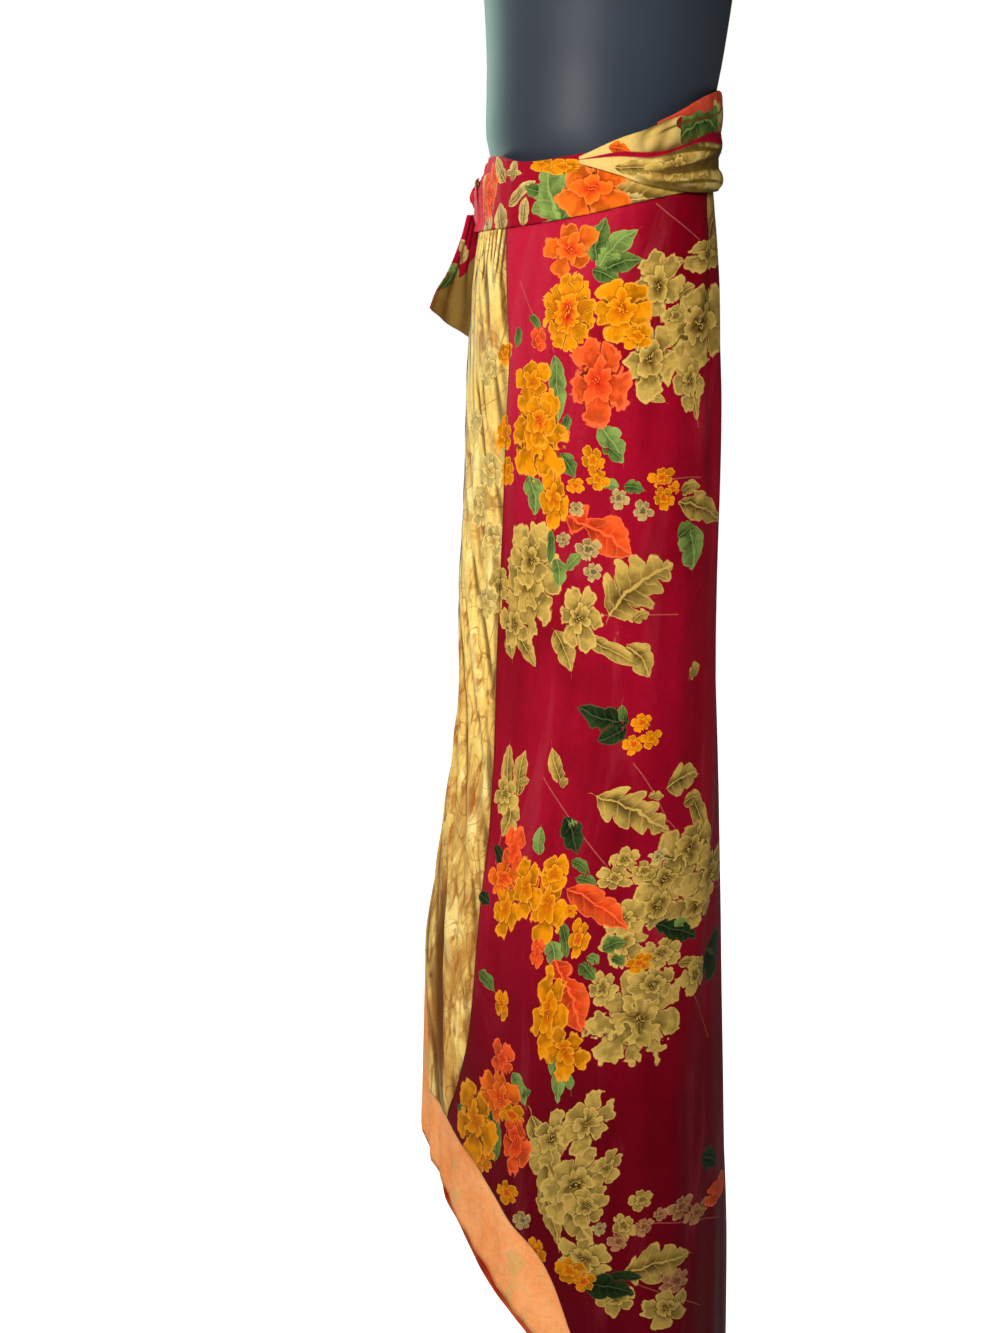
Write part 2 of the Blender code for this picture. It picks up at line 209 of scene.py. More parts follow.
def acrossCloth(turn, drop):
    # length of cloth from the front edge, along the level
    i = np.clip((turn - arcTurns[0]) / (arcTurns[1] - arcTurns[0]), 0, len(arcTurns) - 1.001)
    j = np.clip((drop - arcDrops[0]) / (arcDrops[1] - arcDrops[0]), 0, len(arcDrops) - 1.001)
    i0, j0 = i.astype(int), j.astype(int)
    u, v = i - i0, j - j0
    return ((arcTable[i0, j0] * (1 - u) + arcTable[i0 + 1, j0] * u) * (1 - v)
            + (arcTable[i0, j0 + 1] * (1 - u) + arcTable[i0 + 1, j0 + 1] * u) * v)


def clothWidth(start, end, drop):
    return float(acrossCloth(end, drop) - acrossCloth(start, drop))


# ---- creases ----
def ridges(across, down, rows):
    # soft ridges and troughs: (across, down) of the start and of the end, half width, height
    total = np.zeros(across.shape)
    for x0, y0, x1, y1, width, height in rows:
        dx, dy = x1 - x0, y1 - y0
        along = np.clip(((across - x0) * dx + (down - y0) * dy) / (dx * dx + dy * dy), 0, 1)
        away = np.hypot(across - x0 - along * dx, down - y0 - along * dy) / width
        ends = np.sin(math.pi * np.clip(0.12 + 0.76 * along, 0, 1)) ** 0.8
        total += height * ends * np.exp(-away ** 2)
    return total


def crinkle(across, down, seed, waves, acrossLength, downLength):
    # uneven crinkles from a few crossing waves
    random = np.random.default_rng(seed)
    total = np.zeros(across.shape)
    for _ in range(waves):
        a = random.uniform(0.6, 1.7) * 2 * math.pi / acrossLength
        d = random.uniform(-1.4, 1.4) * 2 * math.pi / downLength
        bend = random.uniform(0.2, 1.2)
        phase, bendPhase = random.uniform(0, 6.28, 2)
        wander = bend * np.sin(down * 2 * math.pi / (downLength * 2.3) + bendPhase)
        total += np.sin(across * a + down * d + phase + wander)
    return total / math.sqrt(waves)


def crinkled(across, down, spec):
    # crinkles that only rise: height, seed, waves, length across and down
    height, *waves = spec
    return height * (1 + crinkle(across, down, *waves))


# ---- meshes ----
def hangGrid(turns, top, low, rows):
    # shares, drops and turns of a grid hung between two edges
    share = np.linspace(0, 1, rows)[None, :]
    return share, top[:, None] + (low - top)[:, None] * share, np.repeat(turns[:, None], rows, 1)


def buildShell(name, outer, inner, across, drop, finishes=()):
    # a closed thin shell from two grids of points; its cloth map holds each point's place on the cut cloth
    count = outer[..., 0].size
    index = np.arange(count).reshape(outer.shape[:2])
    a, b, c, d = (part.ravel() for part in (index[:-1, :-1], index[1:, :-1], index[1:, 1:], index[:-1, 1:]))
    faces = [np.stack([a, d, c, b], 1), np.stack([a, b, c, d], 1) + count]
    for line, way in ((index[:, 0], 1), (index[:, -1], -1), (index[0, :], -1), (index[-1, :], 1)):
        rim = np.stack([line[:-1], line[1:], line[1:] + count, line[:-1] + count], 1)
        faces.append(rim[:, ::way])
    faces = np.concatenate(faces)
    mesh = bpy.data.meshes.new(name)
    mesh.vertices.add(2 * count)
    mesh.vertices.foreach_set("co", np.concatenate([outer.ravel(), inner.ravel()]))
    mesh.loops.add(faces.size)
    mesh.loops.foreach_set("vertex_index", faces.ravel().astype(np.int32))
    mesh.polygons.add(len(faces))
    mesh.polygons.foreach_set("loop_start", np.arange(0, faces.size, 4, dtype=np.int32))
    mesh.update(calc_edges=True)
    places = np.concatenate([np.stack([across, -drop], -1).reshape(-1, 2)] * 2)[faces.ravel()]
    mesh.uv_layers.new(name="cloth").data.foreach_set("uv", places.ravel())
    mesh.shade_smooth()
    mesh.validate()
    piece = bpy.data.objects.new(name, mesh)
    bpy.context.collection.objects.link(piece)
    if finishes:
        for finish in finishes:
            mesh.materials.append(finish)
        side = np.zeros(len(faces), np.int32)
        side[len(a):2 * len(a)] = 1
        mesh.polygons.foreach_set("material_index", side)
    return piece, places


def shellOnForm(name, at, drop, offset, wall, across, finishes=()):
    outer, out = formPoint(at, drop, offset)
    return buildShell(name, outer, outer - out * wall, across, drop, finishes)


def wallBehind(points, facing, wall):
    # the inner face of a shell, square to its outer face
    acrossStep, downStep = np.gradient(points, axis=(0, 1))
    normal = np.cross(downStep, acrossStep)
    normal = normal / np.maximum(np.linalg.norm(normal, axis=-1, keepdims=True), 1e-9)
    return points - normal * np.sign((normal * facing).sum(-1).mean()) * wall


def markPiece(piece, label, values, domain="POINT", kind="FLOAT"):
    # writes an attribute; a point has the same value on both faces of the shell
    if domain == "POINT":
        values = np.concatenate([values.ravel()] * 2)
    made = piece.data.attributes.new(label, kind, domain)
    made.data.foreach_set("vector" if kind == "FLOAT_VECTOR" else "value", values.ravel())


def finishPiece(piece, node, slotName, *finishes):
    for finish in finishes:
        piece.data.materials.append(finish)
    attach(piece, body)
    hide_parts(node)


# ---- the print ----
def dye(red, green, blue, depth=0.74):
    # a colour as 0 to 255, taken down a little because the studio light is strong
    return tuple(depth * ((part / 255 + 0.055) / 1.055) ** 2.4 if part > 10 else depth * part / 3294
                 for part in (red, green, blue))


colour = {
    "crimson": dye(172, 12, 42), "crimsonDeep": dye(134, 4, 24), "crimsonBright": dye(212, 34, 66),
    "maroon": dye(100, 0, 16), "gold": dye(222, 182, 88, 0.78), "goldDark": dye(104, 72, 18),
    "goldPale": dye(238, 204, 122, 0.78), "goldShade": dye(104, 76, 26), "yellow": dye(252, 156, 6, 0.80),
    "yellowDeep": dye(226, 104, 2), "orange": dye(250, 114, 24, 0.86), "scarlet": dye(230, 52, 18, 0.80),
    "orangeRed": dye(248, 92, 36, 0.90), "green": dye(116, 146, 66), "greenPale": dye(150, 176, 88),
    "greenDark": dye(44, 68, 30), "greenShade": dye(22, 40, 18), "cream": dye(216, 182, 112),
    "wovenDark": dye(206, 156, 66, 0.84), "wovenPale": dye(240, 208, 120, 0.84),
    "rose": dye(214, 150, 96), "roseDark": dye(128, 44, 34), "bud": dye(70, 60, 30),
}
# heart and rim colour of each sort of motif
tints = {
    "gold": ("goldDark", "gold"), "goldPale": ("goldDark", "goldPale"), "goldOld": ("goldShade", "gold"),
    "yellow": ("yellowDeep", "yellow"), "sun": ("scarlet", "yellow"), "orange": ("scarlet", "orange"),
    "scarlet": ("scarlet", "orangeRed"), "green": ("greenDark", "green"), "greenPale": ("green", "greenPale"),
    "greenDark": ("greenShade", "greenDark"), "cream": ("bud", "cream"), "rose": ("roseDark", "rose"),
    "woven": ("wovenDark", "wovenPale"), "stripe": ("crimsonDeep", "crimson"),
}
printLayers = ("leafLow", "flowerLow", "flowerHigh", "leafHigh", "petal", "warmLow", "warmHigh")
borderLayers = ("flowerLow", "flowerHigh", "leafHigh", "warmLow", "warmHigh")
bandLayers = ("leafLow", "leafHigh", "warmLow")
tieLayers = ("leafLow", "flowerLow", "leafHigh")
# for each layer and tint: across the cloth, down from the waist and half size in millimetres, spin in degrees,
# slimness in hundredths, kind; kind is the number of petals or teeth, plus how deep they are cut
printMotifs = (
    ("warmLow", "yellow", (
        (104, 148, 10, 20, 70, 5.3), (105, 205, 12, 60, 80, 5.3), (110, 232, 10, 60, 80, 5.3),
        (205, 111, 21, 90, 94, 5.26), (137, 165, 17, 0, 86, 5.35), (144, 201, 32, 90, 85, 6.2),
        (190, 535, 28, 90, 52, 5.45), (151, 546, 21, 90, 60, 5.45), (206, 613, 33, 90, 41, 5.42))),
    ("flowerLow", "gold", (
        (103, 318, 16, 60, 80, 6.3), (273, 124, 39, 0, 68, 5.18), (228, 95, 23, 90, 78, 5.42),
        (230, 145, 25, 90, 69, 5.3), (139, 308, 40, 90, 70, 7.28), (126, 340, 17, 0, 98, 5.4),
        (133, 465, 13, 90, 95, 5.4), (296, 497, 32, 0, 63, 6.3), (275, 513, 19, 0, 71, 6.3),
        (272, 531, 20, 0, 94, 6.3), (311, 537, 30, 0, 56, 5.3), (253, 558, 15, 0, 98, 5.3),
        (272, 612, 37, 90, 86, 9.52), (218, 706, 23, 60, 62, 6.4), (240, 738, 30, 60, 70, 7.42),
        (251, 793, 19, 0, 90, 6.3), (278, 821, 13, 0, 91, 5.35), (317, 829, 18, 0, 75, 5.35))),
    ("leafLow", "gold", (
        (289, 52, 16, 28, 106, 2.3), (230, 84, 15, 23, 39, 2.2), (252, 100, 8, 29, 57, 1.5),
        (263, 165, 25, 295, 26, 2.4), (232, 170, 11, 339, 35, 1.6), (176, 352, 15, 303, 45, 2.2),
        (141, 357, 13, 318, 39, 1.2), (122, 358, 8, 303, 65, 1.2), (227, 302, 28, 40, 58, 4.6),
        (213, 350, 22, 336, 25, 1.3), (233, 355, 14, 312, 52, 2.3), (231, 324, 6, 24, 66, 2.6),
        (285, 253, 29, 342, 28, 2.3), (267, 236, 10, 6, 43, 1.3), (132, 449, 21, 99, 33, 1.3),
        (145, 446, 16, 88, 36, 1.3), (148, 452, 7, 27, 48, 1.3), (141, 481, 14, 264, 52, 2.3),
        (178, 436, 14, 116, 36, 1.3), (186, 446, 4, 58, 74, 1.4), (242, 463, 31, 337, 35, 4.6),
        (279, 443, 15, 9, 56, 2.4), (304, 474, 21, 305, 32, 1.2), (292, 459, 10, 6, 49, 1.3),
        (255, 453, 6, 9, 53, 2.6), (281, 367, 7, 30, 73, 1.5), (313, 578, 13, 344, 28, 1.4),
        (217, 730, 40, 289, 25, 3.4), (240, 760, 23, 314, 44, 3.4), (223, 762, 22, 293, 32, 2.3),
        (307, 794, 26, 7, 44, 3.5), (312, 837, 7, 260, 80, 1.3))),
    ("flowerHigh", "gold", (
        (262, 161, 19, 90, 74, 5.4), (277, 77, 31, 0, 35, 4.35), (245, 117, 9, 0, 96, 5.3),
        (187, 328, 21, 90, 79, 6.35), (140, 292, 19, 0, 97, 5.3), (242, 498, 10, 0, 94, 5.4),
        (257, 506, 11, 0, 75, 5.4), (237, 511, 12, 0, 77, 6.35), (335, 521, 40, 0, 38, 5.3),
        (250, 540, 14, 0, 99, 6.35), (283, 567, 16, 0, 76, 6.35), (321, 589, 15, 0, 86, 5.3),
        (280, 588, 17, 0, 73, 6.25), (243, 590, 12, 90, 80, 5.4), (244, 690, 24, 60, 66, 6.42),
        (262, 722, 14, 60, 62, 5.42), (250, 753, 15, 0, 94, 5.35), (278, 766, 9, 90, 96, 5.35),
        (289, 746, 8, 0, 92, 5.35))),
    ("flowerHigh", "goldPale", ((265, 496, 7, 0, 77, 5.3),)),
    ("flowerHigh", "rose", (
        (324, 756, 13, 0, 59, 5.4), (344, 766, 16, 0, 46, 5.4), (305, 758, 5, 0, 94, 5.4),
        (275, 777, 7, 0, 96, 5.4), (293, 766, 7, 0, 91, 5.4), (322, 810, 13, 0, 63, 6.4))),
    ("leafHigh", "green", (
        (179, 66, 15, 89, 46, 2.2), (198, 81, 15, 16, 42, 2.2), (191, 89, 11, 337, 42, 2.2),
        (119, 136, 7, 259, 51, 1.3), (137, 123, 6, 323, 50, 1.3), (208, 210, 9, 325, 57, 1.4),
        (173, 221, 10, 311, 52, 2.4), (169, 194, 8, 246, 48, 1.3), (223, 234, 7, 352, 54, 2.5),
        (264, 266, 9, 19, 62, 2.3), (159, 281, 12, 271, 25, 1.3), (223, 394, 6, 107, 54, 1.2),
        (217, 514, 8, 346, 48, 1.3), (211, 504, 8, 333, 44, 1.3), (209, 558, 13, 292, 30, 1.3),
        (245, 558, 8, 25, 63, 2.4), (251, 569, 5, 342, 71, 1.4), (231, 579, 8, 318, 58, 2.4),
        (143, 603, 10, 333, 45, 1.4), (192, 677, 7, 41, 47, 1.3), (164, 716, 21, 284, 34, 1.3),
        (121, 712, 6, 329, 81, 1.3))),
    ("leafHigh", "greenPale", (
        (192, 70, 17, 50, 43, 2.2), (192, 76, 8, 341, 33, 1.2), (161, 169, 23, 277, 27, 2.3),
        (207, 204, 15, 305, 44, 2.4), (142, 245, 14, 286, 57, 2.3), (206, 232, 6, 350, 54, 1.4),
        (272, 279, 15, 285, 71, 2.2), (167, 298, 10, 280, 58, 2.3), (179, 288, 8, 47, 46, 1.3),
        (197, 475, 5, 28, 46, 1.3), (173, 491, 10, 96, 46, 1.3), (203, 570, 10, 291, 57, 2.3),
        (219, 659, 19, 280, 29, 2.3), (294, 548, 8, 29, 61, 2.4), (233, 570, 5, 334, 69, 1.4),
        (188, 674, 13, 304, 40, 1.3), (228, 661, 6, 298, 51, 1.3))),
    ("leafHigh", "greenDark", (
        (209, 398, 19, 168, 38, 2.2), (218, 410, 11, 210, 50, 1.2), (200, 483, 14, 299, 48, 2.3),
        (138, 510, 10, 313, 47, 1.4), (295, 552, 22, 340, 25, 3.4), (127, 544, 8, 349, 58, 1.4),
        (272, 812, 18, 352, 40, 2.3), (282, 803, 12, 2, 30, 1.3), (362, 733, 15, 336, 41, 2.4),
        (353, 582, 15, 324, 110, 1.4))),
    ("petal", "scarlet", (
        (221, 597, 28, 300, 40, 1.8), (229, 532, 27, 333, 31, 2.3), (200, 266, 27, 332, 50, 1.9))),
    ("warmLow", "orange", (
        (159, 72, 21, 0, 89, 5.52), (145, 525, 15, 0, 85, 5.35), (172, 527, 15, 90, 86, 5.4),
        (167, 688, 23, 0, 91, 6.35))),
    ("warmLow", "scarlet", ((150, 502, 17, 90, 62, 4.5), (166, 657, 14, 90, 91, 4.45))),
    ("warmLow", "sun", ((149, 739, 16, 0, 94, 5.4),)),
    ("warmHigh", "sun", (
        (165, 115, 26, 90, 77, 12.12), (145, 192, 17, 90, 80, 5.3), (179, 235, 7, 0, 78, 4.4),
        (243, 227, 9, 0, 79, 5.4), (244, 242, 8, 90, 98, 5.4), (251, 235, 5, 0, 95, 4.4),
        (238, 400, 7, 0, 88, 5.4), (234, 416, 7, 0, 98, 5.4), (219, 555, 14, 90, 54, 5.4),
        (267, 571, 10, 0, 69, 5.5), (209, 537, 5, 0, 95, 4.4), (161, 617, 11, 90, 69, 4.4),
        (182, 696, 13, 0, 68, 4.4), (182, 757, 11, 0, 85, 5.4), (212, 794, 10, 90, 82, 5.4),
        (253, 809, 9, 0, 86, 5.4))),
    ("warmHigh", "yellow", (
        (218, 130, 11, 0, 74, 4.3), (160, 246, 20, 90, 61, 5.3), (192, 216, 10, 90, 86, 5.4),
        (196, 229, 8, 90, 100, 5.4), (246, 412, 8, 0, 88, 5.4), (169, 526, 22, 90, 65, 5.35),
        (191, 512, 14, 90, 72, 4.3), (223, 639, 19, 90, 87, 5.5), (139, 714, 29, 90, 82, 5.3),
        (242, 803, 13, 0, 72, 5.4))),
    ("warmHigh", "scarlet", (
        (193, 160, 30, 90, 73, 5.24), (140, 136, 8, 90, 88, 4.3), (189, 571, 11, 90, 52, 4.4),
        (187, 716, 23, 90, 59, 5.3), (378, 760, 23, 0, 39, 4.3))),
    ("warmHigh", "cream", (
        (212, 242, 7, 90, 100, 5.45), (229, 250, 7, 90, 93, 5.45), (191, 279, 9, 0, 84, 5.45),
        (195, 295, 7, 0, 99, 5.45), (180, 251, 6, 0, 85, 4.4), (170, 274, 6, 0, 88, 5.45),
        (199, 774, 8, 0, 92, 5.4), (261, 768, 5, 0, 99, 5.4))),
)
# thin stems: start, bend and end, across and down, in millimetres
printStems = (
    (217, 42, 236, 55, 257, 65), (118, 99, 129, 115, 144, 128), (241, 231, 253, 227, 276, 230),
    (273, 232, 271, 236, 267, 242), (198, 326, 218, 322, 258, 325), (219, 330, 214, 339, 212, 348),
    (171, 447, 188, 465, 225, 499), (237, 431, 250, 444, 267, 471), (267, 471, 279, 478, 285, 490),
    (304, 589, 333, 610, 349, 639), (290, 764, 314, 762, 380, 782), (291, 809, 319, 820, 351, 837),
    (189, 321, 180, 333, 177, 345), (158, 267, 158, 284, 161, 298), (134, 514, 135, 499, 137, 483),
    (270, 522, 291, 522, 359, 537),
)
printRepeat = {"across": 0.300, "down": 0.905, "shift": 0.330, "copies": 5}
# how much longer and wider each sort of motif is printed than its row says
printGrowth = {"leaf": (1.04, 1.34), "flower": (1.14, 1.16), "warm": (1.10, 1.14)}
bandGrowth = {"leaf": (1.10, 1.35)}


def leafy(layer):
    return layer in ("leafLow", "leafHigh", "petal")


def layMotifs(piece, places, layers, groups, growth={}, repeats=((0, 0),)):
    # for each layer of the print, where every face corner lies in its motif, and the motif's two colours;
    # where motifs of one layer meet, a face goes to the one whose middle is nearer
    corner = places.reshape(-1, 4, 2)
    middle = corner.mean(1)
    nearest = {layer: np.full(len(middle), 9.0) for layer in layers}
    drawn = {layer: [np.full(corner.shape[:2] + (3,), start) for start in (9.0, 0.0, 0.0)] for layer in layers}
    rows = [(layer, tint, row) for layer, tint, rows in groups if layer in layers for row in rows]
    for layer, tint, (motifAcross, motifDown, size, spin, slim, kind) in rows:
        local, heart, rim = drawn[layer]
        spin = math.radians(spin)
        turnIn = np.array([[math.cos(spin), math.sin(spin)], [-math.sin(spin), math.cos(spin)]])
        sort = "leaf" if leafy(layer) else "warm" if "warm" in layer else "flower"
        longer, wider = growth.get(sort, (1.0, 1.0))
        scale = size / 1000 * np.array([longer, wider * (slim / 100)])
        for acrossShift, downShift in repeats:
            place = np.array([motifAcross / 1000 + acrossShift, -(motifDown / 1000 + downShift)])
            near = np.flatnonzero(np.abs(middle - place).max(1) < 1.45 * scale.max() + 0.004)
            if not len(near):
                continue
            inMotif = ((corner[near] - place) @ turnIn.T) / scale
            if sort == "leaf":
                halfWidth = 1.16 * np.sqrt(np.clip(1.25 - inMotif[..., 0] ** 2, 0, None)) + 0.1
                covers = ((np.abs(inMotif[..., 0]) < 1.1) & (np.abs(inMotif[..., 1]) < halfWidth)).any(1)
            else:
                covers = (np.hypot(inMotif[..., 0], inMotif[..., 1]) < 1.16).any(1)
            far = np.linalg.norm(inMotif.mean(1), axis=1)
            covers &= far < nearest[layer][near]
            near, inMotif = near[covers], inMotif[covers]
            nearest[layer][near] = far[covers]
            local[near, :, :2] = inMotif
            local[near, :, 2] = kind
            heart[near], rim[near] = (colour[label] for label in tints[tint])
    for layer in layers:
        for suffix, values in zip(("", "Heart", "Rim"), drawn[layer]):
            markPiece(piece, layer + suffix, values, "CORNER", "FLOAT_VECTOR")


def layStems(piece, places, repeats):
    # signed distance, in millimetres, to the nearest thin stem
    corner = places.reshape(-1, 4, 2)
    middle = corner.mean(1)
    nearest = np.full(corner.shape[:2], 9.0)
    best = np.full(len(middle), 1.0)
    for row in printStems:
        first, bend, last = np.array(row).reshape(3, 2) * (1, -1) / 1000
        steps = np.linspace(0, 1, 13)[:, None]
        bow = (1 - steps) ** 2 * first + 2 * steps * (1 - steps) * bend + steps ** 2 * last
        for acrossShift, downShift in repeats:
            for start, end in zip(bow[:-1], bow[1:]):
                start, end = start + (acrossShift, -downShift), end + (acrossShift, -downShift)
                step = end - start
                length = np.linalg.norm(step)
                near = np.flatnonzero(np.abs(middle - (start + end) / 2).max(1) < 0.02)
                along = (middle[near] - start) @ step / length ** 2
                away = np.linalg.norm(middle[near] - start - np.clip(along, 0, 1)[:, None] * step, axis=1)
                closer = (away < best[near]) & (away < 0.008)
                near = near[closer]
                best[near] = away[closer]
                offset = corner[near] - start
                nearest[near] = (step[0] * offset[..., 1] - step[1] * offset[..., 0]) / length * 1000
                past = np.abs((offset @ step) / length ** 2 - 0.5).min(1) > 0.62
                nearest[near[past]] = 9.0
    markPiece(piece, "stem", nearest, "CORNER")


# ---- materials ----
def wired(operation, swapped=False):
    # plain arithmetic on a wire adds a maths node
    def act(wire, other=None):
        return wire.nodes.math(operation, *((other, wire) if swapped else (wire, other)))
    return act


class Wire:
    # a node's output that can stand in a formula
    def __init__(self, nodes, socket):
        self.nodes, self.socket = nodes, socket

    __add__, __sub__, __mul__, __truediv__, __pow__, __mod__, __abs__ = map(
        wired, ("ADD", "SUBTRACT", "MULTIPLY", "DIVIDE", "POWER", "MODULO", "ABSOLUTE"))
    __rsub__ = wired("SUBTRACT", True)


class Nodes:
    # a short way to write node trees
    def __init__(self, tree):
        self.tree = tree

    def plug(self, socket, value):
        if isinstance(value, Wire):
            self.tree.links.new(value.socket, socket)
        elif value is not None:
            colourSocket = hasattr(value, "__len__") and len(value) == 3 and len(socket.default_value) == 4
            socket.default_value = (*value, 1) if colourSocket else value

    def fill(self, sockets, values):
        for key, value in values.items():
            self.plug(sockets[key], value)

    def make(self, kind, inputs=(), output=0, **settings):
        # adds a node, fills its inputs by place or name, and gives one output
        node = self.tree.nodes.new("ShaderNode" + kind)
        for key, value in settings.items():
            setattr(node, key, value)
        self.fill(node.inputs, inputs if isinstance(inputs, dict) else dict(enumerate(inputs)))
        return Wire(self, node.outputs[output])

    def math(self, operation, *values):
        return self.make("Math", values, operation=operation)

    def split(self, vector):
        first = self.make("SeparateXYZ", (vector,))
        return [Wire(self, socket) for socket in first.socket.node.outputs]

    def ramp(self, value, low, high, toLow=0.0, toHigh=1.0, smooth=True):
        return self.make("MapRange", (value, low, high, toLow, toHigh),
                         interpolation_type="SMOOTHSTEP" if smooth else "LINEAR", clamp=True)

    def mix(self, factor, first, second, blend="MIX"):
        return self.make("Mix", {0: factor, 6: first, 7: second}, 2, data_type="RGBA", blend_type=blend)

    def shade(self, tone, factor):
        return self.mix(1.0, tone, self.mix(factor, (0.0, 0.0, 0.0), (1, 1, 1)), "MULTIPLY")

    def attribute(self, name, output="Fac"):
        return self.make("Attribute", (), output, attribute_name=name, attribute_type="GEOMETRY")

    def noise(self, vector, scale, detail=3.0, roughness=0.55, distortion=0.0, output="Fac"):
        return self.make("TexNoise", {"Vector": vector, "Scale": scale, "Detail": detail,
                                      "Roughness": roughness, "Distortion": distortion}, output)

    def mapping(self, vector, scale=(1, 1, 1), rotation=(0, 0, 0), location=(0, 0, 0)):
        return self.make("Mapping", {"Vector": vector, "Scale": scale, "Rotation": rotation,
                                     "Location": location})

    def bump(self, height, strength, distance, normal=None):
        return self.make("Bump", {"Strength": strength, "Distance": distance, "Height": height,
                                  "Normal": normal})


def startMotif(name, across, down):
    # a motif's group, the place in it with a hand-drawn wobble, and the kind split into count and depth
    tree = bpy.data.node_groups.new(name, "ShaderNodeTree")
    for label in ("Under", "Place", "Heart", "Rim", "Wobble"):
        kind = "NodeSocketVector" if label in ("Place", "Wobble") else "NodeSocketColor"
        tree.interface.new_socket(label, in_out="INPUT", socket_type=kind)
    tree.interface.new_socket("Color", in_out="OUTPUT", socket_type="NodeSocketColor")
    n = Nodes(tree)
    given = tree.nodes.new("NodeGroupInput").outputs
    under, place, heart, rim, wobble = (Wire(n, given[index]) for index in range(5))
    result = tree.nodes.new("NodeGroupOutput").inputs["Color"]
    placeX, placeY, kind = n.split(place)
    wobbleX, wobbleY, ruffle = n.split(wobble)
    x, y = placeX + wobbleX * across, placeY + wobbleY * down
    count, depth = n.math("FLOOR", kind), n.math("FRACT", kind)
    pale = n.mix(1.0, n.mix(1.0, rim, (1.16, 1.16, 1.20), "MULTIPLY"), (0.05, 0.04, 0.022), "ADD")
    return n, under, heart, rim, result, x, y, count, depth, ruffle, pale


def makeFlowerGroup():
    # petals round a heart, a second whorl, veins, dark gaps and a pale rim
    n, under, heart, rim, result, x, y, petals, depth, ruffle, pale = startMotif("flowerMotif", 0.60, 0.60)
    radius = n.math("SQRT", x * x + y * y)
    turns = n.math("FRACT", n.math("ARCTAN2", y, x) / (2 * math.pi) + 1.0) * petals

    def whorl(shift):
        place = n.math("FRACT", turns + shift)
        petal = n.math("FLOOR", (turns + shift) % petals)
        chance = n.make("TexWhiteNoise", {"W": petal}, "Value", noise_dimensions="1D")
        return place, abs(place - 0.5) * 2, chance

    place, side, chance = whorl(0.0)
    outline = 0.98 - side ** 3.2 * depth + n.ramp(side, 0.0, 0.24, -0.06, 0.0)
    outline = outline + (chance - 0.6) * 0.24 + ruffle * 0.18
    mask = n.ramp(outline - radius, -0.012, 0.022, smooth=False)
    part = radius / outline
    tone = n.mix(n.ramp(part, 0.0, 0.74), heart, rim)
    tone = n.shade(tone, n.ramp(ruffle, -0.13, 0.12, 0.62, 1.10))
    stroke = abs(n.math("SINE", turns * (6 * math.pi))) ** 8.0
    tone = n.mix(stroke * n.ramp(part, 0.15, 0.85, 0.70, 0.0), tone, heart)
    gap = n.ramp(side, 0.80, 0.98) * n.ramp(part, 0.12, 0.40, 0.0, 0.72)
    light = n.ramp(place, 0.0, 1.0, 0.80, 1.06, smooth=False) * n.ramp(chance, 0, 1, 0.84, 1.08)
    tone = n.shade(tone, light * (1.0 - gap))
    lip = n.ramp(part, 0.4, 0.7) * (n.ramp(side, 0.70, 0.80) * n.ramp(side, 0.86, 0.92, 1.0, 0.0))
    tone = n.mix(n.math("MAXIMUM", n.ramp(part, 0.86, 0.95), lip) * 0.72, tone, pale)
    # the second whorl lies on the first and shades it
    place, side, chance = whorl(0.5)
    inner = (1.0 - side ** 2.4 * 0.42 + chance * 0.3) * 0.42 + ruffle * 0.30
    edge = radius - inner
    inside = n.ramp(edge, -0.02, 0.01, 1.0, 0.0)
    tone = n.shade(tone, n.math("MAXIMUM", n.ramp(edge, 0.0, 0.14, 0.70, 1.0), inside))
    petal = n.mix(n.ramp(radius / inner, 0.15, 0.9), heart, rim)
    petal = n.shade(petal, n.ramp(place, 0.0, 1.0, 0.76, 1.06, smooth=False))
    petal = n.mix(n.ramp(edge, -0.09, -0.02, 0.0, 0.7), petal, pale)
    tone = n.mix(inside, tone, petal)
    # the heart, specked with pollen
    speck = n.math("SINE", x * 46.0) * n.math("SINE", y * 46.0)
    pollen = n.mix(n.ramp(speck, 0.1, 0.5), n.shade(heart, 0.55), pale)
    tone = n.mix(n.ramp(radius, 0.09, 0.15, 0.85, 0.0), tone, pollen)
    n.plug(result, n.mix(mask, under, tone))
    return n.tree


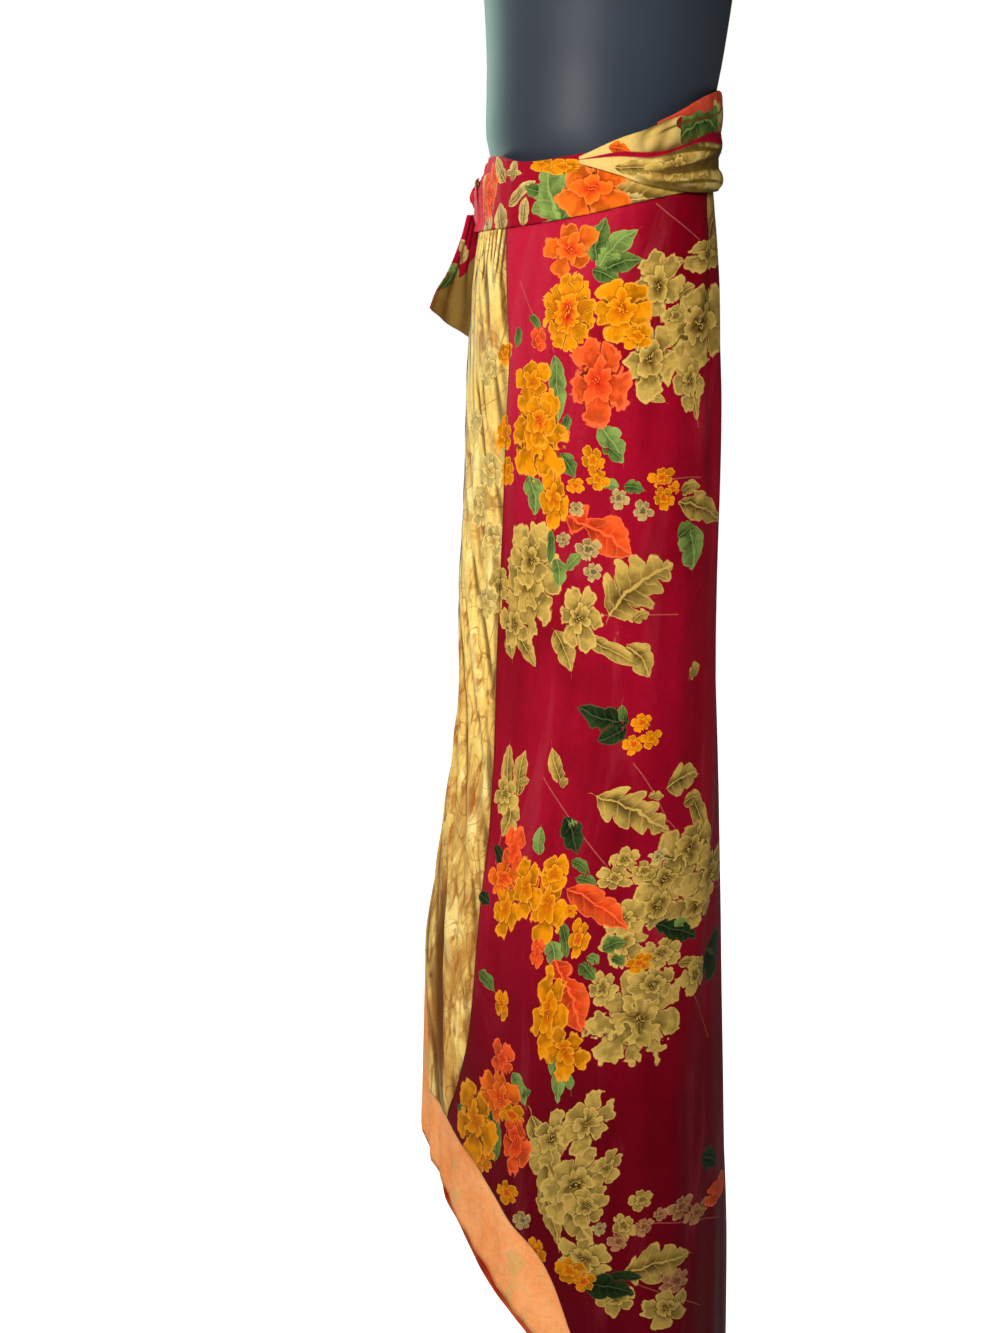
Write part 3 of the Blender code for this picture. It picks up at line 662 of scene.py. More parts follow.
def makeLeafGroup():
    # a pointed leaf or petal with lobes, a midrib and side veins
    n, under, heart, rim, result, x, y, teeth, depth, ruffle, pale = startMotif("leafMotif", 0.24, 0.60)
    y = y + x * x * 0.24
    away = abs(y)
    body = n.math("MAXIMUM", 1.0 - x * x, 0.0) ** 0.72
    body = body * (1.0 - x * 0.28)
    slope = x - away * 0.35
    notch = abs(n.math("FRACT", slope * (teeth * 0.56) + 20.3) * 2.0 - 1.0)
    cut = notch ** 3.0 * (depth * 0.95)
    body = body * (1.0 - cut) + ruffle * 0.18
    inset = body - away
    mask = n.ramp(inset, -0.02, 0.04, smooth=False)
    tone = n.mix(n.ramp(away, 0.0, 0.60, 0.1, 1.0), heart, rim)
    tone = n.shade(tone, n.ramp(ruffle, -0.13, 0.12, 0.62, 1.10))
    tone = n.mix(n.ramp(x, -0.3, 0.9, 0.0, 0.55), tone, rim)
    tone = n.shade(tone, n.ramp(y, -0.03, 0.03, 0.74, 1.0) * n.ramp(notch, 0.3, 1.0, 1.05, 0.82))
    rib = n.ramp(away, 0.03, 0.08, 0.7, 0.0)
    veins = n.ramp(abs(n.math("FRACT", slope * 3.1 + 20.0) - 0.5), 0.0, 0.09, 0.42, 0.0)
    tone = n.mix(n.math("MAXIMUM", rib, veins), tone, pale)
    tone = n.mix(n.ramp(inset, 0.03, 0.13, 0.75, 0.0), tone, pale)
    n.plug(result, n.mix(mask, under, tone))
    return n.tree


flowerGroup, leafGroup = makeFlowerGroup(), makeLeafGroup()


def newMaterial(name):
    material = bpy.data.materials.new(name)
    material.use_nodes = True
    return material, Nodes(material.node_tree), material.node_tree.nodes["Principled BSDF"].inputs


def newCloth(name):
    material, n, shader = newMaterial(name)
    return material, n, shader, n.make("UVMap", uv_map="cloth")


def weaveOver(n, shader, place, tone, weave, strength, roughness, crease=None, depth=0.07):
    # threads both ways, slubs and a looser crumple, in relief and as light and dark over the dyed colour
    across, down = (n.make("TexWave", {"Vector": place, "Scale": weave, "Distortion": 0.6}, "Fac",
                           wave_type="BANDS", bands_direction=way) for way in "XY")
    slub = n.noise(n.mapping(place, (90, 900, 1)), 1.0, 2.0)
    slubDown = n.noise(n.mapping(place, (1100, 70, 1)), 1.0, 2.0)
    threads = n.bump((across + down) * 0.25 + (slub + slubDown), strength, 0.0006)
    crumple = n.noise(place, 26.0, 4.0, 0.6, 0.4)
    if crease is not None:
        crumple = crumple + crease
    relief = n.bump(crumple, 0.35, 0.004, threads)
    thread = n.ramp(slub, 0.3, 0.7, -depth, depth) + n.ramp(slubDown, 0.3, 0.7, 1 - depth, 1 + depth)
    blotch = n.noise(place, 240.0, 3.0)
    n.fill(shader, {"Base Color": n.shade(tone, thread * n.ramp(blotch, 0.3, 0.7, 0.92, 1.08)),
                    "Normal": relief, "Roughness": roughness, "Specular IOR Level": 0.04})


def printOver(n, place, tone, layers):
    # draws the layers of the print over a ground colour
    shift = n.noise(place, 85.0, 2.0, output="Color")
    wobble = n.make("VectorMath", (shift, (0.5, 0.5, 0.5)), operation="SUBTRACT")
    for layer in layers:
        motif = n.attribute(layer, "Vector")
        heart, rim = n.attribute(layer + "Heart", "Color"), n.attribute(layer + "Rim", "Color")
        tone = n.make("Group", {"Under": tone, "Place": motif, "Heart": heart, "Rim": rim, "Wobble": wobble},
                      node_tree=leafGroup if leafy(layer) else flowerGroup)
    return tone


def makePrintMaterial(name, layers, ground, use):
    material, n, shader, place = newCloth(name)
    cloud = n.noise(n.mapping(place, (1.0, 0.6, 1)), 8.0, 4.0, 0.6)
    deep, middle, bright = (colour[label] for label in ground)
    tone = n.mix(n.ramp(cloud, 0.32, 0.56), deep, middle)
    tone = n.mix(n.ramp(cloud, 0.54, 0.78, 0.0, 0.75), tone, bright)
    if use != "tie":
        across, down, _ = n.split(place)
    if use == "band":
        # the band is painted paler towards its free end, a painted highlight
        tone = n.mix(n.ramp(across, 0.03, 0.10, 0.80, 0.0), tone, dye(234, 58, 74))
    if use == "panel":
        # painted light and shade: the ground is painted pinker beside the border high up, a painted highlight,
        # and painted deeper maroon towards the hem, painted shade
        high = n.ramp(across, 0.11, 0.19, 0.85, 0.0) * n.ramp(down, -0.33, -0.14)
        tone = n.mix(high, tone, colour["crimsonBright"])
        tone = n.mix(n.ramp(down, -0.80, -0.38, 0.75, 0.0), tone, colour["maroon"])
        # painted shadow along the top, under the band and the tie, away from the front edge
        underBand = n.ramp(across, 0.17, 0.23) * n.ramp(down, -0.20, -0.07, 0.0, 0.75)
        tone = n.mix(underBand, tone, colour["crimsonDeep"])
        # uneven tone: paler streaks of painted sheen, and darker patches of dye
        sheenAndMottle = n.noise(n.mapping(place, (1, 0.22, 1), location=(3, 1, 0)), 26.0, 4.0, 0.6, 0.8)
        tone = n.mix(n.ramp(sheenAndMottle, 0.52, 0.72, 0.0, 0.30), tone, dye(204, 70, 84))
        tone = n.mix(n.ramp(sheenAndMottle, 0.30, 0.46, 0.45, 0.0), tone, colour["crimsonDeep"])
        # a soft shadow hangs low in the middle of the front
        sunk = n.ramp(abs(across - 0.232), 0.0, 0.05, 1.0, 0.0) * n.ramp(down, -0.52, -0.34, 1.0, 0.0)
        tone = n.mix(sunk * 0.38, tone, colour["maroon"])
        stem = abs(n.attribute("stem"))
        tone = n.mix(n.ramp(stem, 0.25, 0.60, 0.55, 0.0), tone, dye(206, 118, 96))
    tone = printOver(n, place, tone, layers)
    if use == "tie":
        # painted shade in the valleys of the tie's folds
        tone = n.mix(n.ramp(n.attribute("fold"), 0.05, 0.62, 0.92, 0.0), tone, colour["goldShade"])
        tone = n.mix(n.ramp(n.attribute("stripe"), 0.3, 0.7), tone, colour["crimson"])
    if use == "panel":
        # painted shade: everything on the panel, print too, darkens towards the hem
        tone = n.shade(tone, n.ramp(down, -0.86, -0.44, 0.62, 1.0))
    weaveOver(n, shader, place, tone, 900.0, 0.20, 0.55)
    return material


def makeBorderMaterial():
    # golden weave with faint drawn scrolls, painted brown shade in the folds and painted highlights on the
    # ridges, and the print's edge running over it
    material, n, shader, place = newCloth("goldBorderSilk")
    drift = n.noise(n.mapping(place, (1, 0.7, 1), rotation=(0, 0, 0.5)), 30.0, 4.0, 0.6, 0.8)
    tone = n.mix(n.ramp(drift, 0.34, 0.50), dye(216, 162, 76, 0.98), dye(242, 206, 112, 1.0))
    tone = n.mix(n.ramp(drift, 0.54, 0.68, 0.0, 0.8), tone, dye(253, 230, 154, 1.0))
    blush = n.noise(place, 18.0, 2.0)
    tone = n.mix(n.ramp(blush, 0.54, 0.70, 0.0, 0.45), tone, dye(218, 142, 72))
    _, down, _ = n.split(place)
    # painted shade: patchy darker amber towards the bottom
    low = n.ramp(down, -0.56, -0.36, 0.62, 0.0) * n.ramp(drift, 0.44, 0.62, 1.0, 0.25)
    tone = n.mix(low, tone, dye(176, 112, 44, 0.84))
    for scale, middle, shift, strength in ((24.0, 0.50, 0.0, 0.60), (36.0, 0.46, 3.0, 0.45)):
        scroll = n.noise(n.mapping(place, (1, 0.6, 1), location=(shift, 1, 0)), scale, 1.0, 0.5, 1.2)
        tone = n.mix(n.ramp(abs(scroll - middle), 0.004, 0.016, strength, 0.0), tone, dye(170, 104, 36))
    # painted shade of fine diagonal creases: brown streaks, stronger lower down
    streak = n.noise(n.mapping(place, (1, 0.30, 1), rotation=(0, 0, 0.45)), 120.0, 3.0, 0.6, 0.5)
    creaseShadeStreaks = n.ramp(down, -0.40, -0.24, 1.0, 0.25) * n.ramp(streak, 0.50, 0.64, 0.0, 0.80)
    tone = n.mix(creaseShadeStreaks, tone, dye(176, 98, 30))
    # painted shade in the low places of the folds, painted highlight on the ridges
    fold = n.attribute("fold")
    tone = n.mix(n.ramp(fold, 0.0, 0.44, 0.95, 0.0), tone, dye(104, 54, 16))
    tone = n.mix(n.ramp(fold, 0.66, 1.0, 0.0, 0.6), tone, dye(255, 234, 156))
    tone = n.mix(n.attribute("edge"), tone, dye(112, 26, 14))
    tone = printOver(n, place, tone, borderLayers)
    crease = n.noise(n.mapping(place, (60, 34, 1), rotation=(0, 0, 0.5)), 1.0, 4.0, 0.55, 0.6) * 1.6
    weaveOver(n, shader, place, tone, 700.0, 0.30, 0.46, crease, 0.09)
    return material


def makePeachMaterial():
    # orange peach silk with pale outlines of leaves
    material, n, shader, place = newCloth("peachInnerSilk")
    drift = n.noise(place, 14.0, 4.0, 0.6)
    tone = n.mix(n.ramp(drift, 0.35, 0.65), dye(236, 140, 74, 0.92), dye(249, 170, 108, 0.94))
    bend = n.noise(place, 26.0, 2.0, output="Color")
    bent = n.make("VectorMath", {0: bend, "Scale": 0.03}, operation="SCALE")
    spot = n.make("VectorMath", (n.mapping(place, (1.0, 0.7, 1)), bent), operation="ADD")
    patch = n.noise(spot, 52.0, 1.0, 0.4, 0.6)
    tone = n.mix(n.ramp(patch, 0.62, 0.66, 0.0, 0.40), tone, dye(236, 190, 122))
    tone = n.mix(n.ramp(abs(patch - 0.44), 0.004, 0.020, 0.50, 0.0), tone, dye(244, 196, 136))
    leaf = n.noise(n.mapping(place, (1, 0.8, 1), location=(5, 2, 0)), 30.0, 1.0)
    tone = n.mix(n.ramp(leaf, 0.64, 0.68, 0.0, 0.40), tone, dye(206, 190, 110))
    weaveOver(n, shader, place, tone, 800.0, 0.22, 0.52)
    return material


def makePlainSilk(name, first, second):
    material, n, shader, place = newCloth(name)
    drift = n.noise(n.mapping(place, (1, 0.5, 1)), 30.0, 4.0, 0.6)
    weaveOver(n, shader, place, n.mix(n.ramp(drift, 0.3, 0.7), first, second), 800.0, 0.22, 0.44)
    return material


crimsonGround = ("crimsonDeep", "crimson", "crimsonBright")
materials = {
    "print": makePrintMaterial("crimsonPrintSilk", printLayers, crimsonGround, "panel"),
    "knot": makePrintMaterial("knotPrintSilk", (), ("scarlet", "crimsonBright", "gold"), "band"),
    "band": makePrintMaterial("bandPrintSilk", bandLayers, crimsonGround, "band"),
    "tie": makePrintMaterial("tiePrintSilk", tieLayers, ("gold", "goldPale", "cream"), "tie"),
    "border": makeBorderMaterial(),
    "peach": makePeachMaterial(),
    "goldReverse": makePlainSilk("tieReverseGold", dye(138, 106, 44), dye(176, 142, 70)),
    "orangeReverse": makePlainSilk("tieReverseOrange", dye(214, 66, 44), dye(230, 94, 66)),
    # the lining's inner face: its peach painted hot orange-red, as painted shade inside the skirt
    "liningShadeInside": makePlainSilk("liningShadeSilk", dye(236, 76, 40, 1.0), dye(250, 112, 62, 1.0)),
}
print("materials made")


# ---- outer panel ----
outerPanel = {
    # columns from turn to turn: the shown side is the finest
    "columns": ((54.12, 212, 150), (212, 345, 78), (345, 412, 16)),
    "rows": 200, "wall": 0.0007, "seamTurn": 48.0,
    "hemRoll": (0.0005, 0.006),  # height and width of the soft roll along the hem
    "crinkle": (0.00045, 11, 7, 0.045, 0.30),   # height, seed, waves, length across and down
    "fade": (340, 352),          # turns between which the creases die out on the underlap
    # soft ridges on the near side and the hidden sides: from, to (across, down), half width, height
    "creases": (
        (0.3, 0.05, 0.33, 0.6, 0.016, 0.0022), (0.345, 0.1, 0.39, 0.9, 0.018, 0.003),
        (0.225, 0.62, 0.275, 0.96, 0.022, 0.0024), (0.17, 0.34, 0.2, 0.78, 0.018, 0.0016),
        (0.15, 0.06, 0.156, 0.14, 0.006, 0.0012), (0.176, 0.055, 0.18, 0.12, 0.006, 0.001),
        (0.205, 0.05, 0.212, 0.15, 0.007, 0.0012), (0.246, 0.042, 0.24, 0.12, 0.007, 0.001),
        (0.285, 0.04, 0.262, 0.13, 0.008, 0.0014), (0.318, 0.04, 0.295, 0.16, 0.008, 0.0014),
        (0.25, 0.4, 0.262, 0.58, 0.012, 0.0014), (0.118, 0.46, 0.128, 0.7, 0.01, 0.0016),
        (0.42, 0.05, 0.46, 0.8, 0.016, 0.0032), (0.5, 0.06, 0.53, 0.55, 0.014, 0.0026),
        (0.57, 0.05, 0.6, 0.94, 0.018, 0.0034), (0.64, 0.3, 0.66, 0.95, 0.018, 0.0034),
        (0.47, 0.45, 0.52, 0.97, 0.018, 0.003), (0.7, 0.06, 0.72, 0.4, 0.014, 0.0022)),
}


def makeOuterPanel():
    spec = outerPanel
    parts = [np.linspace(start, end, count, endpoint=False) for start, end, count in spec["columns"]]
    turns = np.concatenate([*parts, [skirtForm["skirtTurn"]]])
    top = underBand(shownTurn(turns, skirtForm["seamDrop"]))
    low = hemDrops(turns, 1)
    _, drop, turnGrid = hangGrid(turns, top, low, spec["rows"])
    turnGrid = shownTurn(turnGrid, drop)
    across = acrossCloth(turnGrid, drop)
    lift = ridges(across, drop, spec["creases"])
    lift += crinkled(across, drop, spec["crinkle"]) * smoothStep(0.0, 0.03, drop - top[:, None])
    lift *= fadeOut(turnGrid, *spec["fade"])
    height, width = spec["hemRoll"]
    lift += height * np.exp(-((low[:, None] - drop) / width) ** 2)
    offset = -skirtForm["turnDrop"] * turnGrid / 360
    piece, places = shellOnForm("outerPanel", skirtForm["frontEdge"] + turnGrid, drop, offset + lift,
                                spec["wall"], across)
    repeats = [(k * printRepeat["across"], ((k * printRepeat["shift"]) % printRepeat["down"]) - wrap)
               for k in range(printRepeat["copies"]) for wrap in (0, printRepeat["down"])]
    layMotifs(piece, places, printLayers, printMotifs, printGrowth, repeats)
    layStems(piece, places, repeats)
    finishPiece(piece, "outer_panel", "crimson_print_silk", materials["print"])
    width = clothWidth(spec["seamTurn"], skirtForm["skirtTurn"], 0.5)
    print("outer panel", width)


# ---- gold border ----
frontBorder = {
    "columns": 110, "rows": 330, "wall": 0.0007,
    "seamSlack": 0.12,           # turn left free beside the seam
    "edgeWidth": 0.005,          # dark turned edge
    "gather": 0.0072,            # from one small gather under the band to the next
    "gatherHeight": 0.0018, "gatherReach": 0.030,
    # fine diagonal crinkles: share, slant, then seed, waves, length across and down
    "crinkles": ((0.6, 0.30, 5, 9, 0.017, 0.080), (0.8, 0.40, 8, 7, 0.032, 0.12)),
    "crinkleHeight": 0.0010,
    # long twisted folds: from, to (across, down), half width, height
    "creases": (
        (0.03, 0.16, 0.05, 0.34, 0.005, 0.0014), (0.062, 0.2, 0.052, 0.4, 0.005, 0.0014),
        (0.08, 0.14, 0.088, 0.3, 0.005, 0.0012), (0.024, 0.36, 0.052, 0.44, 0.0045, 0.0022),
        (0.04, 0.4, 0.072, 0.5, 0.005, 0.0028), (0.03, 0.28, 0.06, 0.37, 0.0035, 0.0026),
        (0.05, 0.3, 0.088, 0.41, 0.004, 0.0028), (0.02, 0.42, 0.048, 0.5, 0.0035, 0.0028),
        (0.064, 0.34, 0.1, 0.44, 0.0035, 0.0026), (0.036, 0.44, 0.074, 0.55, 0.0035, 0.0028),
        (0.072, 0.42, 0.102, 0.53, 0.004, 0.0028), (0.06, 0.38, 0.092, 0.47, 0.005, 0.0024),
        (0.03, 0.47, 0.062, 0.56, 0.0055, 0.0028), (0.052, 0.5, 0.094, 0.6, 0.0055, 0.0028),
        (0.076, 0.5, 0.098, 0.72, 0.01, 0.0046), (0.1, 0.5, 0.112, 0.68, 0.008, 0.0024)),
    "groove": (0.0640, 0.545, 0.0880, 0.715, 0.0120),
    # pale woven blossoms
    "motifs": (
        ("flowerHigh", "woven", (
            (80, 160, 16, 20, 80, 5.3), (56, 205, 14, 50, 80, 5.3), (86, 235, 17, 10, 80, 6.3),
            (70, 262, 15, 70, 80, 5.3), (94, 285, 16, 30, 80, 6.3), (88, 330, 14, 10, 80, 5.3))),),
}


def makeFrontBorder():
    spec = frontBorder
    turns = np.linspace(0.0, skirtForm["borderTurn"] - spec["seamSlack"], spec["columns"])
    top = underBand(shownTurn(turns, skirtForm["seamDrop"]))
    _, drop, turnGrid = hangGrid(turns, top, hemDrops(turns, 1), spec["rows"])
    turnGrid = shownTurn(turnGrid, drop)
    across = acrossCloth(turnGrid, drop)
    down = drop - top[:, None]
    seam = shownTurn(np.full_like(drop, skirtForm["borderTurn"]), drop)
    toSeam = smoothStep(0.0, 0.012, acrossCloth(seam, drop) - across)
    free = across - acrossCloth(shownTurn(np.zeros_like(drop), drop), drop)
    toEdge = smoothStep(-0.004, 0.026, free)
    gather = 0.5 + 0.5 * np.sin(across * 2 * math.pi / spec["gather"] + 1.6 * np.sin(across * 70) + 14 * down)
    reach = spec["gatherReach"]
    gathered = smoothStep(reach + reach * (0.5 + 0.5 * np.sin(across * 240)), 0.0, down)
    lift = ridges(across, drop, spec["creases"]) + spec["gatherHeight"] * gather * gathered
    diagonal = sum(share * crinkle(across - slant * drop, drop, *waves)
                   for share, slant, *waves in spec["crinkles"])
    lift += spec["crinkleHeight"] * np.clip(1.0 + 0.75 * diagonal, 0, 3) * smoothStep(0.0, 0.03, down)
    groove = ridges(across, drop, (spec["groove"] + (1.0,),))
    lift *= (0.25 + 0.75 * toSeam) * (0.30 + 0.70 * toEdge) * (1 - 0.9 * groove)
    piece, places = shellOnForm("frontBorder", skirtForm["frontEdge"] + turnGrid, drop,
                                lift - skirtForm["turnDrop"] * turnGrid / 360, spec["wall"], across)
    # painted shade in low places and painted highlight on high ones; the groove and the troughs of the small
    # gathers are painted dark too
    fold = np.clip(0.34 + 130 * (lift - spec["crinkleHeight"]) + 0.10 * diagonal, 0.12, 1) * (1 - groove)
    markPiece(piece, "fold", np.clip(fold - 0.75 * gathered * smoothStep(0.45, 0.0, gather), 0, 1))
    markPiece(piece, "edge", smoothStep(1.0, 0.6, free / spec["edgeWidth"]) * smoothStep(0.42, 0.36, drop))
    layMotifs(piece, places, borderLayers, printMotifs + spec["motifs"], printGrowth)
    finishPiece(piece, "front_border", "gold_border_silk", materials["border"])
    print("front border")


# ---- inner panel ----
innerPanel = {
    "columns": 240, "rows": 150, "wall": 0.0006,
    "edgeShow": 3.0,             # how far its free edge peeps out low down, in degrees of turn
    "rippleHeight": 0.0012, "ripple": (21, 7, 0.030, 0.12),
}


def makeInnerPanel():
    spec = innerPanel
    turns = np.linspace(0, skirtForm["skirtTurn"], spec["columns"])
    low = hemDrops(turns, 2, shown=False)
    _, drop, turnGrid = hangGrid(turns, underBand(turns), low, spec["rows"])
    across = acrossCloth(turnGrid, drop)
    peep = spec["edgeShow"] * np.clip(1 - turnGrid / 20, 0, 1) * smoothStep(0.50, 0.60, drop)
    below = drop - tableColumn(skirtForm["hem"], turnGrid, 1)
    ripple = spec["rippleHeight"] * crinkle(across, drop, *spec["ripple"]) * smoothStep(-0.03, 0.05, below)
    ripple *= smoothStep(0, 25, turnGrid)
    offset = -skirtForm["layerPitch"] - skirtForm["turnDrop"] * turnGrid / 360 + ripple
    # the inner face takes the lining colour with painted shade
    piece, _ = shellOnForm("innerPanel", skirtForm["frontEdge"] + (turnGrid - peep), drop, offset,
                           spec["wall"], across, (materials["peach"], materials["liningShadeInside"]))
    finishPiece(piece, "inner_panel", "peach_inner_silk")


# ---- waistband ----
waistband = {
    "columns": 420, "rows": 26, "wall": 0.0016,
    "drawnIn": 0.003,            # how far the upper edge leans in towards the knot
    "gather": 0.0105,            # from one gather beside the knot to the next
    "gatherTurn": 34, "gatherHeight": 0.0032, "crinkle": (0.0005, 31, 6, 0.022, 0.05),
    "rollHeight": 0.0008, "fade": (345, 355),
    "motifs": (
        ("warmLow", "orange", ((166, 31, 29, 0, 74, 4.34), (300, 20, 20, 20, 90, 5.3))),
        ("warmLow", "scarlet", ((52, 38, 24, 20, 80, 5.3), (196, 13, 16, 8, 42, 4.3))),
        ("warmLow", "yellow", (
            (144, 17, 17, 0, 39, 4.3), (124, 16, 12, 0, 47, 4.3), (490, 30, 22, 10, 90, 5.3))),
        ("leafHigh", "greenPale", ((134, 37, 21, 112, 72, 3.5), (144, 27, 8, 86, 69, 2.4))),
        ("leafHigh", "green", ((118, 34, 9, 171, 50, 2.4), (350, 20, 22, 40, 50, 3.3))),
        ("leafLow", "goldPale", (
            (72, 21, 12, 140, 44, 1.3), (93, 20, 7, 76, 63, 1.3), (93, 22, 9, 3, 25, 1.3),
            (78, 54, 9, 106, 92, 1.3), (104, 35, 15, 33, 25, 1.3), (108, 48, 9, 81, 51, 1.3),
            (41, 32, 8, 49, 92, 1.3), (196, 38, 14, 6, 35, 3.4), (208, 2, 17, 5, 25, 1.4))),
        ("leafHigh", "goldPale", ((50, 56, 12, 110, 80, 2.3), (68, 30, 10, 70, 25, 1.3))),
        ("leafLow", "gold", (
            (218, 40, 36, 349, 40, 3.5), (240, 30, 36, 345, 45, 3.5), (213, 15, 18, 25, 52, 3.4),
            (255, 17, 43, 4, 25, 2.5), (420, 30, 26, 200, 50, 4.4), (550, 35, 22, 20, 50, 3.4)))),
}


def makeWaistband():
    spec = waistband
    turns = np.linspace(0, skirtForm["skirtTurn"], spec["columns"])
    at = skirtForm["frontEdge"] + turns
    share, drop, turnGrid = hangGrid(turns, bandEdge(at, 1), bandEdge(at, 2), spec["rows"])
    across = acrossCloth(turnGrid, drop * 0 + 0.02)
    # gathers towards the knot, a soft roll along both edges
    near = np.clip(1 - turnGrid / spec["gatherTurn"], 0, 1)
    wave = np.sin(across * 2 * math.pi / spec["gather"] + 1.2 * np.sin(share * 5))
    lift = near * (0.5 + 0.5 * wave) * spec["gatherHeight"] + crinkled(across, drop, spec["crinkle"])
    lift = lift * fadeOut(turnGrid, *spec["fade"])
    roll = spec["rollHeight"] * (np.exp(-(share / 0.10) ** 2) + np.exp(-((1 - share) / 0.08) ** 2))
    drawnIn = spec["drawnIn"] * (1 - share) * np.exp(-(((turnGrid + 20) % 360 - 20) / 24) ** 2)
    offset = -skirtForm["bandTurnDrop"] * turnGrid / 360 - drawnIn
    offset = offset + lift * 0.8 + roll * 0.3
    piece, places = shellOnForm("waistBand", at[:, None] + 0 * drop, drop, offset, spec["wall"], across)
    layMotifs(piece, places, bandLayers, spec["motifs"], bandGrowth)
    finishPiece(piece, "waistband", "band_print_silk", materials["band"])


# ---- ties ----
tieWrap = {
    "from": -42, "to": 195, "columns": 260, "rows": 44, "wall": 0.0009, "gap": 0.0016,
    # angle, top and bottom edge
    "edges": (
        (-42, 0.0100, 0.0145), (-25, -0.0020, 0.0215), (-10, -0.0095, 0.0290), (10, -0.0224, 0.0335),
        (30, -0.0320, 0.0350), (57, -0.0340, 0.0350), (90, -0.0320, 0.0350), (135, -0.0180, 0.0400),
        (174, 0.0040, 0.0500), (195, 0.0200, 0.0450)),
    "crinkle": (0.0003, 41, 6, 0.03, 0.03),     # height, seed, waves, length across and down
    "stripe": 0.45,              # share of the strap where the crimson line runs, between upper roll and drape
    # rolled folds: middle and half width as shares of the strap, height; the first is the upper roll
    "folds": ((0.22, 0.25, 0.0026), (0.59, 0.11, 0.0034), (0.85, 0.11, 0.0034)),
    # painted shade along folds: share of the strap, waves along it, half width, where it starts
    "shadows": ((0.71, 14, 0.060, 0.10), (0.55, 22, 0.024, 0.16), (0.91, 18, 0.022, 0.14),
                (0.18, 26, 0.018, 0.12)),
    "motifs": (
        ("leafLow", "stripe", (
            (94, -12, 7, 330, 70, 1.2), (210, -10, 30, 20, 30, 2.4), (320, 24, 30, 340, 30, 2.4))),
        ("leafHigh", "green", (
            (112, -12, 22, 15, 74, 3.4), (132, -13, 24, 340, 74, 3.3), (290, 0, 22, 340, 40, 3.4))),
        ("flowerLow", "goldOld", (
            (86, 18, 28, 10, 56, 5.35), (128, 14, 28, 40, 56, 6.35), (165, 4, 30, 50, 80, 6.3),
            (250, 10, 28, 10, 80, 6.3))),
        ("leafLow", "goldOld", ((52, 17, 22, 356, 26, 2.4),)),
        ("leafLow", "orange", ((34, 4, 10, 350, 50, 2.4),))),
}


def strapShell(name, spec, lift):
    at = np.linspace(spec["from"], spec["to"], spec["columns"])
    share, drop, at = hangGrid(at, *(tableColumn(spec["edges"], at, column) for column in (1, 2)), spec["rows"])
    along = (at - spec["from"]) / (spec["to"] - spec["from"])
    across = acrossCloth(at - spec["from"], drop * 0 + 0.01)
    height = lift(along, share + 0 * along, across, drop)
    outer = formPoint(at, drop, spec["gap"] + height)[0]
    inner = wallBehind(outer, formPoint(at, drop, 0)[1], spec["wall"])
    piece, places = buildShell(name, outer, inner, across, drop)
    # how deep in a fold each point lies, for painted shade in the valleys and along the listed shadow lines,
    # and how near the crimson line
    raised = np.maximum(np.clip(height / tieWrap["folds"][-1][-1], 0, 1), smoothStep(0.16, 0.05, along))
    for middle, bend, width, start in spec.get("shadows", ()):
        wave = (share - middle - 0.04 * np.sin(along * bend)) / width
        raised = raised - 0.9 * np.exp(-wave ** 2) * smoothStep(start, start + 0.10, along)
    stripeWidth = 0.050 + 0.030 * np.sin(along * 22)
    stripe = np.exp(-((share + 0.02 * np.sin(along * 30) - spec.get("stripe", 9)) / stripeWidth) ** 2)
    markPiece(piece, "fold", np.clip(raised, 0, 1))
    markPiece(piece, "stripe", np.clip(stripe, 0, 1))
    return piece, places


def makeTieWrap():
    spec = tieWrap

    def lift(along, share, across, drop):
        total = crinkled(across, drop, spec["crinkle"])
        for middle, width, height in spec["folds"]:
            wander = middle + 0.05 * np.sin(along * 9 + middle * 12)
            grown = smoothStep(0.0, 0.20, along) * (0.8 + 0.2 * np.sin(along * 17 + middle * 9))
            total += height * grown * np.clip(1 - ((share - wander) / width) ** 2, 0, 1) ** 0.75
        return total * (0.35 + 0.65 * smoothStep(0, 0.08, share) * smoothStep(1.0, 0.94, share))

    piece, places = strapShell("tieWrap", spec, lift)
    layMotifs(piece, places, tieLayers, spec["motifs"])
    finishPiece(piece, "tie_wrap", "tie_print_silk", materials["tie"])


tieFold = {
    "from": -6, "to": 54, "columns": 70, "rows": 26, "wall": 0.0009, "gap": 0.0014,
    "rollHeight": 0.0030, "rippleHeight": 0.0002, "ripple": (51, 5, 0.03, 0.03),
    "edges": ((-6, -0.0134, -0.0122), (4, -0.0196, -0.0158), (14, -0.0262, -0.0166), (26, -0.0315, -0.0155),
              (40, -0.0332, -0.0140), (54, -0.0332, -0.0130)),
}


def makeTieFold():
    def lift(along, share, across, drop):
        roll = tieFold["rollHeight"] * np.sqrt(np.clip(1 - ((share - 0.45) / 0.55) ** 2, 0, 1))
        roll = roll * smoothStep(0.0, 0.3, along) * smoothStep(1.02, 0.9, along)
        return roll + tieFold["rippleHeight"] * crinkle(across, drop, *tieFold["ripple"])

    piece, _ = strapShell("tieFold", tieFold, lift)
    finishPiece(piece, "tie_fold", "tie_reverse_silk", materials["orangeReverse"])


tieShort = {
    "from": 217, "to": 235, "columns": 50, "rows": 26, "wall": 0.0009, "gap": 0.0016,
    "pleats": 3.2, "pleatHeight": 0.0009,
    "edges": ((217, 0.0300, 0.0500), (224, 0.0320, 0.0580), (235, 0.0370, 0.0640)),
    "motifs": (("leafLow", "goldPale", ((12, 36, 14, 30, 40, 2.2),)),),
}


